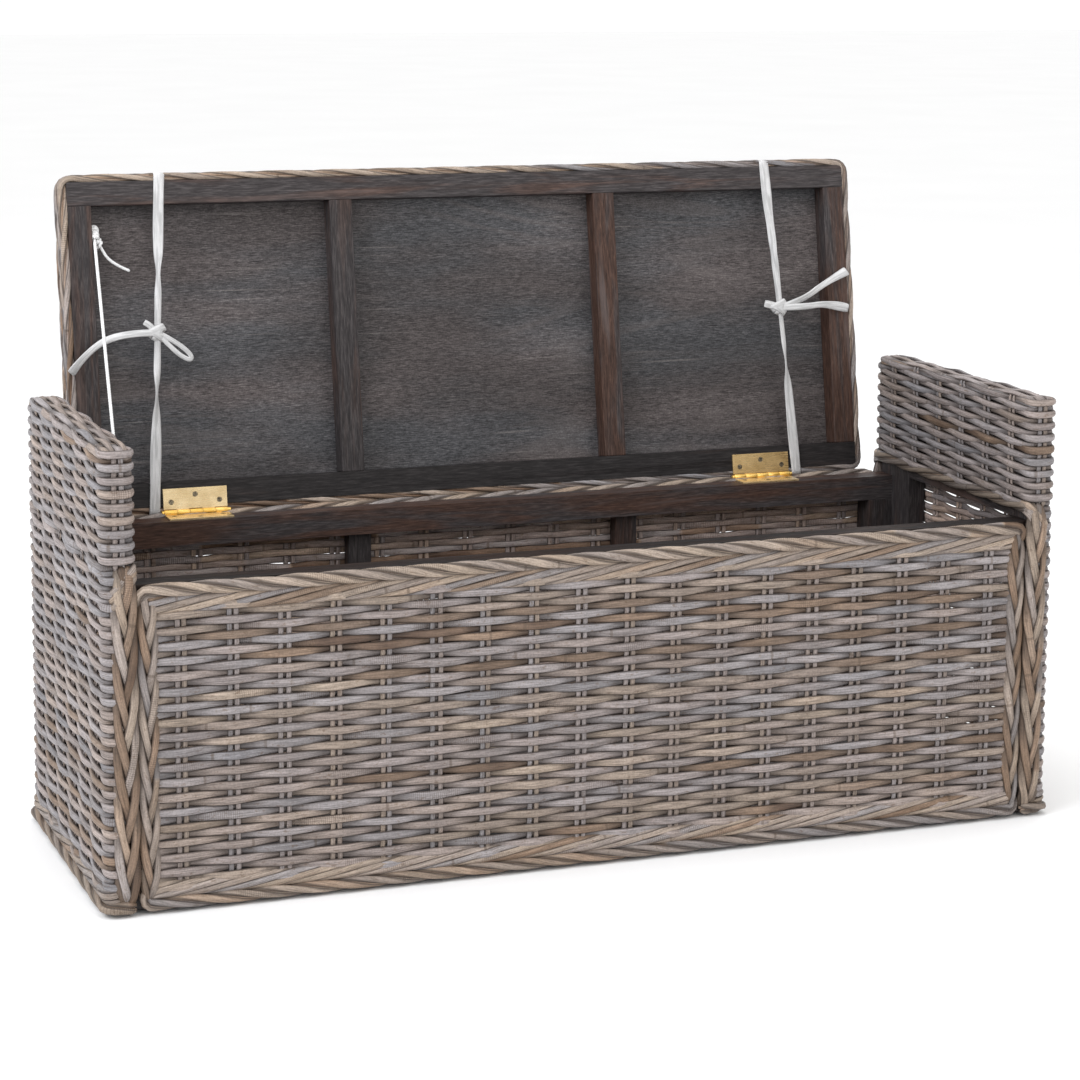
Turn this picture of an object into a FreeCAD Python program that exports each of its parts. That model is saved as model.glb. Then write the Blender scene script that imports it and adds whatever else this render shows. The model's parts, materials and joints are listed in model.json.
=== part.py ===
"""Woven storage bench: a rattan box between two arms, its padded lid hinged at the back.

Millimetres. X runs along the bench, -Y is the front, Z is up. The origin is on the floor,
under the middle of the bench. The lid is drawn shut, then turned back to its open rest.
"""
import FreeCAD
import Part
import math
import os

Vector = FreeCAD.Vector

# Overall sizes
overall_width = 1200.0
overall_depth = 410.0
arm_height = 535.0
seat_height = 378.5  # top of the front rail and of the braid in front of it
arm_thickness = 40.0

# Woven skin
skin = 8.0
skin_floor_gap = 4.0
inner_skin_rise = 9.5  # of the weave on the arms' inner sides above the front rail
border_width = 30.0  # braids along the top and bottom of the front and the back
side_border_width = 24.0
rear_border_drop = 0.5  # below the top of the hinge rail

# Wooden frame
glide_height = 5.0
glide_radius = 10.0
rail_depth = 30.0
rail_height = 30.0
hinge_rail_height = 32.0
hinge_rail_depth = 32.0
front_post_depth = 36.0
rear_post_depth = 80.0
corner_post_width = 35.0
stud_width = 30.0
stud_depth = 20.0
front_stud_x = 181.0
rear_stud_x = 183.0
mid_rail_drop = 1.5  # of the arms' middle rails below the front rail
bearer_width = 30.0
floor_thickness = 6.0
floor_gap = 2.0

# Hinges
hinge_x = 390.0
hinge_length = 82.0
knuckles = 5
knuckle_gap = 0.3
barrel_radius = 3.5
barrel_gap = 0.5  # between the barrel and the wood beside it
pin_radius = 1.6
pin_clearance = 0.05
pin_tip_radius = 2.6
pin_tip_length = 3.0
leaf_width = 30.0
leaf_thickness = 2.0
screw_inset = 10.0  # outer screws from the ends of the leaf
screw_near = 13.0  # outer screws from the axis
screw_far = 21.5  # middle screw from the axis
screw_radius = 1.6
screw_head_radius = 3.3
screw_length = 18.0
screw_clearance = 0.05
screw_slot = 0.7

# Lid
open_angle = 99.0
lid_side_gap = 18.5  # between the lid's braid and each arm
lid_overhang = 10.0  # of the lid's frame past the front of the box
lid_setback = 8.0  # of the lid's frame from the hinge axis
lid_rest_gap = 1.5  # between the front rail and the shut lid
lid_rail_width = 30.0
lid_frame_thickness = 30.0
lid_panel_thickness = 5.0
cross_rail_x = 181.0
lid_skin = 8.0
lid_border = 8.0
border_round = 3.5

# Cushion and its ties
cushion_thickness = 40.0
cushion_inset = 15.0
cushion_round = 14.0
tape_width = 14.0
tape_thickness = 1.0
tie_front_x = 416.0
tie_hinge_gap = 4.5
tie_knot_v = 225.0  # from the hinge axis
tie_knot_radius = 10.0
tie_knot_thickness = 9.0
tail_width = 11.0
left_tie_tails = (
    ((0, 0), (-45, 2), (-88, -16), (-112, -46)),
    ((0, 0), (22, -10), (40, -34)),
)
right_tie_tails = (
    ((0, 0), (40, 14), (100, 46)),
    ((0, 0), (50, 8), (98, -10)),
    ((0, 0), (-22, 6)),
)

# Stay cord
cord_radius = 1.5
cord_knot_radius = 4.5
cord_gap = 0.3
cord_low_inset = 75.0  # from the front of the box
cord_high_inset = 34.0  # from the lid's front rail
cord_high_t = 12.0  # up from the lid's underside
cord_tail = ((0, 0, 0), (6, -16, -2), (18, -38, -6), (42, -48, -4))

# Worked-out places
half_width = overall_width / 2
half_depth = overall_depth / 2
inner_x = half_width - arm_thickness
wood_x0 = half_width - skin
wood_x1 = inner_x + skin
wood_y0 = -half_depth + skin
wood_y1 = half_depth - skin
arm_wood_top = arm_height - skin
hinge_y = wood_y1 + barrel_radius + barrel_gap
lid_z = seat_height + lid_rest_gap
hinge_z = lid_z - barrel_radius - barrel_gap
hinge_rail_top = hinge_z - barrel_radius - barrel_gap
inner_skin_bottom = seat_height + inner_skin_rise
mid_rail_bottom = seat_height - mid_rail_drop
lid_half = inner_x - lid_side_gap - lid_border
lid_back = hinge_y - lid_setback
lid_front = -half_depth - lid_overhang
lid_top = lid_z + lid_frame_thickness
skin_top = lid_top + lid_skin
hinge_axis = Vector(0, hinge_y, hinge_z)
tie_rear_x = hinge_x + hinge_length / 2 + tie_hinge_gap + tape_width / 2

nodes = {}


def block(x0, x1, y0, y1, z0, z1):
    """Return a box between two corners given in any order."""
    low = Vector(min(x0, x1), min(y0, y1), min(z0, z1))
    return Part.makeBox(abs(x1 - x0), abs(y1 - y0), abs(z1 - z0), low)


def fuse(shapes):
    """Return the union of shapes as one clean solid."""
    if len(shapes) == 1:
        return shapes[0]
    return shapes[0].multiFuse(shapes[1:]).removeSplitter()


def swing(shape):
    """Turn a piece of the shut lid back to its open rest."""
    shape.rotate(hinge_axis, Vector(1, 0, 0), -open_angle)
    return shape


def sides():
    """Yield the name and the sign of each end of the bench."""
    yield "left", -1
    yield "right", 1


# Box frame


def bottom_frame():
    """Make the four bottom rails and the bearer across them."""
    low = glide_height
    top = low + rail_height
    nodes["front_bottom_rail"] = block(-wood_x1, wood_x1, wood_y0, wood_y0 + rail_depth, low, top)
    nodes["rear_bottom_rail"] = block(-wood_x1, wood_x1, wood_y1 - rail_depth, wood_y1, low, top)
    for name, sign in sides():
        y0 = wood_y0 + front_post_depth
        y1 = wood_y1 - rear_post_depth
        nodes[name + "_bottom_rail"] = block(sign * wood_x0, sign * wood_x1, y0, y1, low, top)
    half = bearer_width / 2
    y0 = wood_y0 + rail_depth
    nodes["floor_bearer"] = block(-half, half, y0, wood_y1 - rail_depth, low, top)


def floor_panel():
    """Make the plywood floor, notched round the rear corner posts."""
    low = glide_height + rail_height
    top = low + floor_thickness
    x = wood_x1 - floor_gap
    y0 = wood_y0 + stud_depth + floor_gap
    y1 = wood_y1 - stud_depth - floor_gap
    panel = block(-x, x, y0, y1, low, top)
    for _, sign in sides():
        notch_x = wood_x1 - corner_post_width - floor_gap
        notch_y = wood_y1 - hinge_rail_depth - floor_gap
        panel = panel.cut(block(sign * notch_x, sign * wood_x1, notch_y, wood_y1, low - 1, top + 1))
    nodes["floor_panel"] = panel


def top_rails():
    """Make the front rail, and the hinge rail with its screw holes."""
    front = block(-wood_x1, wood_x1, wood_y0, wood_y0 + rail_depth, seat_height - rail_height, seat_height)
    nodes["front_top_rail"] = front
    low = hinge_rail_top - hinge_rail_height
    rear = block(-wood_x1, wood_x1, wood_y1 - hinge_rail_depth, wood_y1, low, hinge_rail_top)
    for x, v in screw_places():
        start = Vector(x, hinge_y - v, hinge_rail_top)
        rear = rear.cut(pilot_hole(start, Vector(0, 0, -1)))
    nodes["rear_top_rail"] = rear


def end_frames():
    """Make the posts and rails inside each arm."""
    low = glide_height
    post_top = arm_wood_top - rail_height
    for name, sign in sides():
        x0 = sign * wood_x0
        x1 = sign * wood_x1
        front = wood_y0 + front_post_depth
        rear = wood_y1 - rear_post_depth
        mid_top = mid_rail_bottom + rail_height
        nodes[name + "_front_post"] = block(x0, x1, wood_y0, front, low, post_top)
        nodes[name + "_rear_post"] = block(x0, x1, rear, wood_y1, low, post_top)
        nodes[name + "_mid_rail"] = block(x0, x1, front, rear, mid_rail_bottom, mid_top)
        nodes[name + "_arm_rail"] = block(x0, x1, wood_y0, wood_y1, post_top, arm_wood_top)


def corner_posts_and_studs():
    """Make the rear corner posts and the studs behind the woven panels."""
    low = glide_height + rail_height
    rear_top = hinge_rail_top - hinge_rail_height
    front_top = seat_height - rail_height
    half = stud_width / 2
    for name, sign in sides():
        x1 = sign * (wood_x1 - corner_post_width)
        y0 = wood_y1 - hinge_rail_depth
        nodes[name + "_corner_post"] = block(sign * wood_x1, x1, y0, wood_y1, low, rear_top)
        x = sign * front_stud_x
        y1 = wood_y0 + stud_depth
        nodes[name + "_front_stud"] = block(x - half, x + half, wood_y0, y1, low, front_top)
        x = sign * rear_stud_x
        y0 = wood_y1 - stud_depth
        nodes[name + "_rear_stud"] = block(x - half, x + half, y0, wood_y1, low, rear_top)


def glides():
    """Make the round glides under the corners and along the middle."""
    x = (wood_x0 + wood_x1) / 2
    front = wood_y0 + front_post_depth / 2
    rear = wood_y1 - rear_post_depth / 2
    middle = wood_y1 - rail_depth / 2
    places = [(0, 0), (0, -middle), (0, middle)]
    for _, sign in sides():
        places += [(sign * x, front), (sign * x, rear)]
    discs = []
    for px, py in places:
        discs.append(Part.makeCylinder(glide_radius, glide_height, Vector(px, py, 0)))
    nodes["floor_glides"] = Part.makeCompound(discs)


# Woven skins and braids


def box_weaves():
    """Make the woven panels of the box and of the arms."""
    rear_top = hinge_rail_top - rear_border_drop
    x = inner_x - side_border_width
    low = skin_floor_gap + border_width
    nodes["front_weave"] = block(-x, x, -half_depth, wood_y0, low, seat_height - border_width)
    nodes["rear_weave"] = block(-x, x, wood_y1, half_depth, low, rear_top - border_width)
    for name, sign in sides():
        outer = block(sign * half_width, sign * wood_x0, wood_y0, wood_y1, skin_floor_gap, arm_wood_top)
        inner = block(sign * wood_x1, sign * inner_x, wood_y0, wood_y1, inner_skin_bottom, arm_wood_top)
        nodes[name + "_outer_weave"] = outer
        nodes[name + "_inner_weave"] = inner


def edge_weaves():
    """Make the woven edge of each arm: up the front, over the top and down the back."""
    for name, sign in sides():
        x0 = sign * half_width
        x1 = sign * inner_x
        front = block(x0, x1, -half_depth, wood_y0, skin_floor_gap, arm_wood_top)
        rear = block(x0, x1, wood_y1, half_depth, skin_floor_gap, arm_wood_top)
        top = block(x0, x1, -half_depth, half_depth, arm_wood_top, arm_height)
        nodes[name + "_edge_weave"] = Part.makeCompound([front, top, rear])


def border_frame(y0, y1, top):
    """Return four straight braids around a woven panel of the box."""
    low = skin_floor_gap
    x = inner_x - side_border_width
    braids = [
        block(-inner_x, inner_x, y0, y1, low, low + border_width),
        block(-inner_x, inner_x, y0, y1, top - border_width, top),
        block(-inner_x, -x, y0, y1, low + border_width, top - border_width),
        block(inner_x, x, y0, y1, low + border_width, top - border_width),
    ]
    return Part.makeCompound(braids)


def box_borders():
    """Make the braids around the front panel and the back panel."""
    nodes["front_border"] = border_frame(-half_depth, wood_y0, seat_height)
    nodes["rear_border"] = border_frame(wood_y1, half_depth, hinge_rail_top - rear_border_drop)


# Hinges


def screw_places():
    """Return each screw's x and its distance from the hinge axis."""
    places = []
    for _, sign in sides():
        x = sign * hinge_x
        reach = hinge_length / 2 - screw_inset
        places += [(x - reach, screw_near), (x, screw_far), (x + reach, screw_near)]
    return places


def pilot_hole(start, direction):
    """Return the hole that a screw's shank fills in the wood."""
    return Part.makeCylinder(screw_radius + screw_clearance, screw_length, start, direction)


def countersink(face, direction, extra):
    """Return the cone of a screw's head, sunk into a leaf from its open face."""
    radius = screw_head_radius + extra
    return Part.makeCone(radius, screw_radius + extra, leaf_thickness, face, direction)


def screw(face, direction):
    """Return one countersunk screw with a cross slot."""
    head = countersink(face, direction, 0)
    shank = Part.makeCylinder(screw_radius, screw_length - 1, face, direction)
    arm = screw_head_radius * 0.6
    slot_a = block(-arm, arm, -screw_slot / 2, screw_slot / 2, -1, 1)
    slot_b = block(-screw_slot / 2, screw_slot / 2, -arm, arm, -1, 1)
    cross = slot_a.fuse(slot_b)
    cross.translate(face)
    return head.fuse(shank).cut(cross).removeSplitter()


def leaf(x_mid, own, z0, z1, face_z, direction):
    """Return one hinge leaf with its own knuckles, the lid being shut."""
    x0 = x_mid - hinge_length / 2
    edge = hinge_y - barrel_radius - 2 * knuckle_gap
    plate = block(x0, x0 + hinge_length, hinge_y - leaf_width, edge, z0, z1)
    length = (hinge_length - (knuckles - 1) * knuckle_gap) / knuckles
    pieces = [plate]
    for i in own:
        start = x0 + i * (length + knuckle_gap)
        tab_low = max(z0, hinge_z - barrel_radius)
        tab_top = min(z1, hinge_z + barrel_radius)
        pieces.append(block(start, start + length, edge, hinge_y, tab_low, tab_top))
        centre = Vector(start, hinge_y, hinge_z)
        pieces.append(Part.makeCylinder(barrel_radius, length, centre, Vector(1, 0, 0)))
    shape = fuse(pieces)
    centre = Vector(x0 - 1, hinge_y, hinge_z)
    bore = Part.makeCylinder(pin_radius + pin_clearance, hinge_length + 2, centre, Vector(1, 0, 0))
    shape = shape.cut(bore)
    for x, v in screw_places():
        if abs(x - x_mid) < hinge_length / 2:
            start = Vector(x, hinge_y - v, face_z)
            shape = shape.cut(countersink(start, direction, screw_clearance))
    return shape


def pin(x_mid):
    """Return a hinge pin with a tip past each end of the barrel."""
    x0 = x_mid - hinge_length / 2
    along = Vector(1, 0, 0)
    core = Part.makeCylinder(pin_radius, hinge_length, Vector(x0, hinge_y, hinge_z), along)
    tips = []
    for start in (x0 - pin_tip_length, x0 + hinge_length):
        tips.append(Part.makeCylinder(pin_tip_radius, pin_tip_length, Vector(start, hinge_y, hinge_z), along))
    return fuse([core] + tips)


def hinges():
    """Make both butt hinges and their screws."""
    low = hinge_rail_top
    down = Vector(0, 0, -1)
    up = Vector(0, 0, 1)
    low_face = low + leaf_thickness
    high_face = lid_z - leaf_thickness
    for name, sign in sides():
        x = sign * hinge_x
        fixed = leaf(x, range(0, knuckles, 2), low, low_face, low_face, down)
        moving = leaf(x, range(1, knuckles, 2), high_face, lid_z, high_face, up)
        nodes[name + "_hinge_fixed_leaf"] = fixed
        nodes[name + "_hinge_moving_leaf"] = swing(moving)
        nodes[name + "_hinge_pin"] = pin(x)
    box_screws = []
    lid_screws = []
    for x, v in screw_places():
        box_screws.append(screw(Vector(x, hinge_y - v, low_face), down))
        lid_screws.append(screw(Vector(x, hinge_y - v, high_face), up))
    nodes["box_hinge_screws"] = Part.makeCompound(box_screws)
    nodes["lid_hinge_screws"] = swing(Part.makeCompound(lid_screws))


# Lid


def lid_frame():
    """Make the lid's rails, stiles and cross rails."""
    front = block(-lid_half, lid_half, lid_front, lid_front + lid_rail_width, lid_z, lid_top)
    rear = block(-lid_half, lid_half, lid_back - lid_rail_width, lid_back, lid_z, lid_top)
    for x, v in screw_places():
        start = Vector(x, hinge_y - v, lid_z)
        rear = rear.cut(pilot_hole(start, Vector(0, 0, 1)))
    nodes["lid_front_rail"] = swing(front)
    nodes["lid_rear_rail"] = swing(rear)
    y0 = lid_front + lid_rail_width
    y1 = lid_back - lid_rail_width
    half = lid_rail_width / 2
    for name, sign in sides():
        x = sign * lid_half
        stile = block(x, x - sign * lid_rail_width, y0, y1, lid_z, lid_top)
        x = sign * cross_rail_x
        cross = block(x - half, x + half, y0, y1, lid_z, lid_top - lid_panel_thickness)
        nodes["lid_" + name + "_stile"] = swing(stile)
        nodes["lid_" + name + "_cross_rail"] = swing(cross)
    x = lid_half - lid_rail_width
    panel = block(-x, x, y0, y1, lid_top - lid_panel_thickness, lid_top)
    nodes["lid_panel"] = swing(panel)


def lid_cover():
    """Make the weave on top of the lid and the braid around its edge."""
    weave = block(-lid_half, lid_half, lid_front, lid_back, lid_top, skin_top)
    nodes["lid_weave"] = swing(weave)
    x = lid_half + lid_border
    bars = [
        (-x, x, lid_front - lid_border, lid_front),
        (-x, x, lid_back, lid_back + lid_border),
        (-x, -lid_half, lid_front, lid_back),
        (lid_half, x, lid_front, lid_back),
    ]
    border = [rounded_bar(*bar) for bar in bars]
    nodes["lid_border"] = swing(Part.makeCompound(border))


def rounded_bar(x0, x1, y0, y1):
    """Return one side of the lid's braid, rounded where it shows."""
    bar = block(x0, x1, y0, y1, lid_z, skin_top)
    x = lid_half + lid_border
    edges = []
    for edge in bar.Edges:
        box = edge.BoundBox
        level = box.ZLength < 0.01 and max(box.XLength, box.YLength) > 2 * lid_border
        outside = abs(box.Center.x) > x - 0.01 or box.Center.y < lid_front - lid_border + 0.01
        outside = outside or box.Center.y > lid_back + lid_border - 0.01
        if level and outside:
            edges.append(edge)
    return bar.makeFillet(border_round, edges)


def cushion():
    """Make the seat cushion that is tied on top of the lid."""
    x = lid_half - cushion_inset
    y0 = lid_front + cushion_inset
    y1 = lid_back - cushion_inset
    pad = block(-x, x, y0, y1, skin_top, skin_top + cushion_thickness)
    upright = [e for e in pad.Edges if e.BoundBox.ZLength > cushion_thickness / 2]
    nodes["seat_cushion"] = swing(pad.makeFillet(cushion_round, upright))


# Ties and stay cord


def ribbon(points, width, z0, z1):
    """Return a flat strip that follows points in the plane of the lid."""
    pieces = []
    for (xa, ya), (xb, yb) in zip(points, points[1:]):
        run = math.hypot(xb - xa, yb - ya)
        nx = (ya - yb) / run * width / 2
        ny = (xb - xa) / run * width / 2
        ring = [(xa + nx, ya + ny), (xb + nx, yb + ny), (xb - nx, yb - ny), (xa - nx, ya - ny)]
        corners = [Vector(x, y, z0) for x, y in ring]
        face = Part.Face(Part.makePolygon(corners + corners[:1]))
        pieces.append(face.extrude(Vector(0, 0, z1 - z0)))
    for x, y in points[1:-1]:
        pieces.append(Part.makeCylinder(width / 2, z1 - z0, Vector(x, y, z0)))
    return pieces


def tie(sign, tails):
    """Return one pair of tapes: over both edges of the lid, knotted under its middle."""
    half = tape_width / 2
    low = lid_z - tape_thickness
    high = skin_top + tape_thickness
    front = lid_front - lid_border
    back = lid_back + lid_border
    out = tape_thickness
    xf = sign * tie_front_x
    xr = sign * tie_rear_x
    knot_y = hinge_y - tie_knot_v
    knot_x = xf + (xr - xf) * (knot_y - front) / (back - front)
    pieces = [
        block(xf - half, xf + half, front - out, lid_front + cushion_inset, skin_top, high),
        block(xf - half, xf + half, front - out, front, low, high),
        block(xr - half, xr + half, back, back + out, low, high),
        block(xr - half, xr + half, lid_back - cushion_inset, back + out, skin_top, high),
    ]
    pieces += ribbon([(xf, front - out), (xf, lid_front), (xr, lid_back), (xr, back + out)],
                     tape_width, low, lid_z)
    base = Vector(knot_x, knot_y, low - tie_knot_thickness / 2)
    pieces.append(Part.makeCylinder(tie_knot_radius, tie_knot_thickness, base))
    for tail in tails:
        path = [(knot_x + dx, knot_y - dv) for dx, dv in tail]
        pieces += ribbon(path, tail_width, low - tape_thickness, low)
    return swing(fuse(pieces))


def bent_tube(points, radius):
    """Return a tube of straight runs joined by tangent arcs, and print the arcs' radii."""
    edges = []
    start = points[0]
    for before, here, after in zip(points, points[1:], points[2:]):
        back = before - here
        ahead = after - here
        turn = math.pi - back.getAngle(ahead)
        trim = 0.45 * min(back.Length, ahead.Length)
        bend = trim / math.tan(turn / 2)
        print("cord arc radius", round(bend, 1))
        arc_in = here + Vector(back).normalize() * trim
        arc_out = here + Vector(ahead).normalize() * trim
        middle = Vector(back).normalize() + Vector(ahead).normalize()
        sag = bend / math.cos(turn / 2) - bend
        edges.append(Part.LineSegment(start, arc_in).toShape())
        edges.append(Part.Arc(arc_in, here + middle.normalize() * sag, arc_out).toShape())
        start = arc_out
    edges.append(Part.LineSegment(start, points[-1]).toShape())
    circle = Part.Circle(points[0], points[1] - points[0], radius).toShape()
    return Part.Wire(edges).makePipeShell([Part.Wire(circle)], True, True)


def stay_cord():
    """Make the cord that stops the open lid, its knots and its loose end."""
    x = lid_half - lid_rail_width - cord_knot_radius
    shut = Vector(-x, lid_front + lid_rail_width + cord_high_inset, lid_z + cord_high_t)
    knot = Part.makeSphere(cord_knot_radius, shut)
    path = [shut + Vector(dx, -dv, dt) for dx, dv, dt in cord_tail]
    nodes["stay_cord_upper_knot"] = swing(fuse([knot, bent_tube(path, cord_radius)]))
    marker = swing(Part.Vertex(shut))
    high = marker.Point
    low_z = inner_skin_bottom + cord_knot_radius
    low = Vector(-inner_x + cord_knot_radius, -half_depth + cord_low_inset, low_z)
    run = high - low
    length = run.Length - cord_knot_radius - cord_gap
    print("stay cord length", round(run.Length, 1))
    cord = Part.makeCylinder(cord_radius, length, low, run)
    nodes["stay_cord"] = fuse([Part.makeSphere(cord_knot_radius, low), cord])


def build():
    """Make every node and write it to its own file."""
    bottom_frame()
    floor_panel()
    top_rails()
    end_frames()
    corner_posts_and_studs()
    glides()
    box_weaves()
    edge_weaves()
    box_borders()
    hinges()
    lid_frame()
    lid_cover()
    cushion()
    nodes["left_tie"] = tie(-1, left_tie_tails)
    nodes["right_tie"] = tie(1, right_tie_tails)
    stay_cord()
    os.makedirs("parts", exist_ok=True)
    for name, shape in nodes.items():
        if not shape.isValid() or shape.Volume <= 0:
            raise ValueError(name + " is not a sound solid")
        shape.exportStep(os.path.join("parts", name + ".step"))
    print(len(nodes), "nodes")


build()
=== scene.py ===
"""Looks of a woven storage bench: rattan box and arms, a padded lid standing open.

Metres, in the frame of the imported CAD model. Places come from the boxes of its nodes. New
pieces of the lid are made as it lies when shut, then turned with LID to where it rests.
"""
import json
import math

import bpy
import numpy as np
from mathutils import Matrix, Vector


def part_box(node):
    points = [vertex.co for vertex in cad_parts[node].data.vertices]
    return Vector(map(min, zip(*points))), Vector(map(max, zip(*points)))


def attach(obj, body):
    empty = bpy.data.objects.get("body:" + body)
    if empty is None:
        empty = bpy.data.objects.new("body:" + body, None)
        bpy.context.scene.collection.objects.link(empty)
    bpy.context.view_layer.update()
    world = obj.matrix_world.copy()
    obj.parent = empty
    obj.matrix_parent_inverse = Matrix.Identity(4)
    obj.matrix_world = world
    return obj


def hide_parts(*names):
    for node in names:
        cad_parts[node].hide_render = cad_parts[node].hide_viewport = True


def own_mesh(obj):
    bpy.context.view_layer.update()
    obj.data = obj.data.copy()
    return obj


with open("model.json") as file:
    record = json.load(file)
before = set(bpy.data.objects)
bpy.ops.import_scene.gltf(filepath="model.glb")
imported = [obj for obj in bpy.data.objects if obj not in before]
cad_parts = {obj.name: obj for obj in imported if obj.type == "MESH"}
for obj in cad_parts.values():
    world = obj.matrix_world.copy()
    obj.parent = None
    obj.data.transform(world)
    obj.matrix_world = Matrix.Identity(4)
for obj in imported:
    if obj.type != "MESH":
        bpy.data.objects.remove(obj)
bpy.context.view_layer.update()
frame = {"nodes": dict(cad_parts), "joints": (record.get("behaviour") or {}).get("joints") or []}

hinge = frame["joints"][0]
AXIS = Vector(hinge["pos_m"])
OPEN = math.radians(hinge["range_deg"][1])
LID = Matrix.Translation(AXIS) @ Matrix.Rotation(-OPEN, 4, "X") @ Matrix.Translation(-AXIS)
X, Y, Z = np.eye(3)
PI = math.pi
rng = np.random.default_rng(7)


def shut_box(node):
    """Return the lowest and highest corner of a lid node as it lies when shut."""
    turned = LID.inverted()
    points = np.array([turned @ v.co for v in frame["nodes"][node].data.vertices])
    return Vector(points.min(0)), Vector(points.max(0))


# Node helpers


def node(tree, kind, values=None, **settings):
    """Add a shader node, set its properties, and fill or link its inputs."""
    made = tree.nodes.new("ShaderNode" + kind)
    for name, value in settings.items():
        setattr(made, name, value)
    for key, value in (values or {}).items():
        if isinstance(value, bpy.types.NodeSocket):
            tree.links.new(value, made.inputs[key])
        else:
            made.inputs[key].default_value = value
    return made


def calc(tree, operation, a, b=0.0):
    """Return the result of one Math node."""
    return node(tree, "Math", {0: a, 1: b, 2: 0.0}, operation=operation).outputs[0]


def times(tree, a, b):
    """Return a times b."""
    return calc(tree, "MULTIPLY", a, b)


def plus(tree, a, b):
    """Return a plus b."""
    return calc(tree, "ADD", a, b)


def vector(tree, x, y, z):
    """Return a vector made of three values."""
    return node(tree, "CombineXYZ", {0: x, 1: y, 2: z}).outputs[0]


def place_of(tree):
    """Return the place on the object."""
    return node(tree, "TexCoord").outputs["Object"]


def stretch(tree, at, scale):
    """Return a place scaled along each axis."""
    return node(tree, "Mapping", {"Vector": at, "Scale": scale}).outputs[0]


def tilted(tree, at, angle):
    """Return a place turned about X, so that grain follows a part that leans."""
    return node(tree, "Mapping", {"Vector": at, "Rotation": (angle, 0, 0)}).outputs[0]


def smooth(tree, value, low, high, out_low=0.0, out_high=1.0):
    """Return value mapped smoothly from one range to another."""
    made = node(tree, "MapRange", {0: value, 1: low, 2: high, 3: out_low, 4: out_high},
                interpolation_type="SMOOTHSTEP")
    return made.outputs[0]


def ramp(tree, value, stops):
    """Return the colour of a ramp with stops given as (place, (r, g, b))."""
    made = node(tree, "ValToRGB", {0: value})
    band = made.color_ramp
    while len(band.elements) < len(stops):
        band.elements.new(0.5)
    for element, (place, colour) in zip(band.elements, stops):
        element.position = place
        element.color = (*colour, 1)
    return made.outputs[0]


def mix(tree, factor, a, b, kind="MIX"):
    """Return two colours mixed; b may be a plain (r, g, b)."""
    if isinstance(b, tuple):
        b = (*b, 1)
    made = node(tree, "Mix", {0: factor, 6: a, 7: b}, data_type="RGBA", blend_type=kind)
    return made.outputs[2]


def dim(tree, colour, value):
    """Return a colour multiplied by a value."""
    return mix(tree, 1.0, colour, vector(tree, value, value, value), "MULTIPLY")


def noise(tree, at, scale, detail=3.0, roughness=0.5, distortion=0.0):
    """Return the value of a noise texture."""
    values = {"Vector": at, "Scale": scale, "Detail": detail,
              "Roughness": roughness, "Distortion": distortion}
    return node(tree, "TexNoise", values).outputs[0]


def strand_place(tree):
    """Return how far a point lies along and around its strand, and the strand's seed."""
    place = node(tree, "Attribute", attribute_name="strand").outputs["Vector"]
    return node(tree, "SeparateXYZ", {0: place}).outputs


def new_material(name):
    """Return a new material and its node tree."""
    material = bpy.data.materials.new(name)
    material.use_nodes = True
    return material, material.node_tree


def surface(tree, colour, roughness, height=None, bump=0.3, depth=0.001, **inputs):
    """Connect colour, roughness and height to a tree's shader."""
    shader = tree.nodes["Principled BSDF"]
    tree.links.new(colour, shader.inputs["Base Color"])
    if isinstance(roughness, bpy.types.NodeSocket):
        tree.links.new(roughness, shader.inputs["Roughness"])
    else:
        shader.inputs["Roughness"].default_value = roughness
    for key, value in inputs.items():
        shader.inputs[key.replace("_", " ")].default_value = value
    if height is not None:
        made = node(tree, "Bump", {"Strength": bump, "Distance": depth, "Height": height})
        tree.links.new(made.outputs[0], shader.inputs["Normal"])


# Materials

WEAVE_TONES = (
    (0.00, (0.232, 0.221, 0.230)),
    (0.15, (0.270, 0.247, 0.248)),
    (0.33, (0.282, 0.240, 0.228)),
    (0.50, (0.290, 0.234, 0.202)),
    (0.66, (0.322, 0.258, 0.206)),
    (0.78, (0.228, 0.168, 0.130)),
    (0.90, (0.225, 0.157, 0.112)),
    (1.00, (0.100, 0.064, 0.046)),
)
BRAID_TONES = (
    (0.00, (0.228, 0.217, 0.224)),
    (0.20, (0.268, 0.240, 0.232)),
    (0.42, (0.305, 0.250, 0.215)),
    (0.62, (0.350, 0.278, 0.218)),
    (0.80, (0.262, 0.182, 0.130)),
    (0.92, (0.200, 0.130, 0.085)),
    (1.00, (0.110, 0.070, 0.050)),
)
SPECK = (0.12, 0.075, 0.045)
SCAR = (0.10, 0.07, 0.05)
RIB = (0.09, 0.06, 0.045)
STRAND_EDGE_SHADE = (0.040, 0.029, 0.024)
STRAND_SHADE = (0.035, 0.027, 0.023)
STRAND_BACK_CORE_AND_LIGHT = (1.45, 1.35, 1.28)
PALE_GRAIN = (0.125, 0.108, 0.104)
NODES_PER_METRE = 1.5


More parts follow.
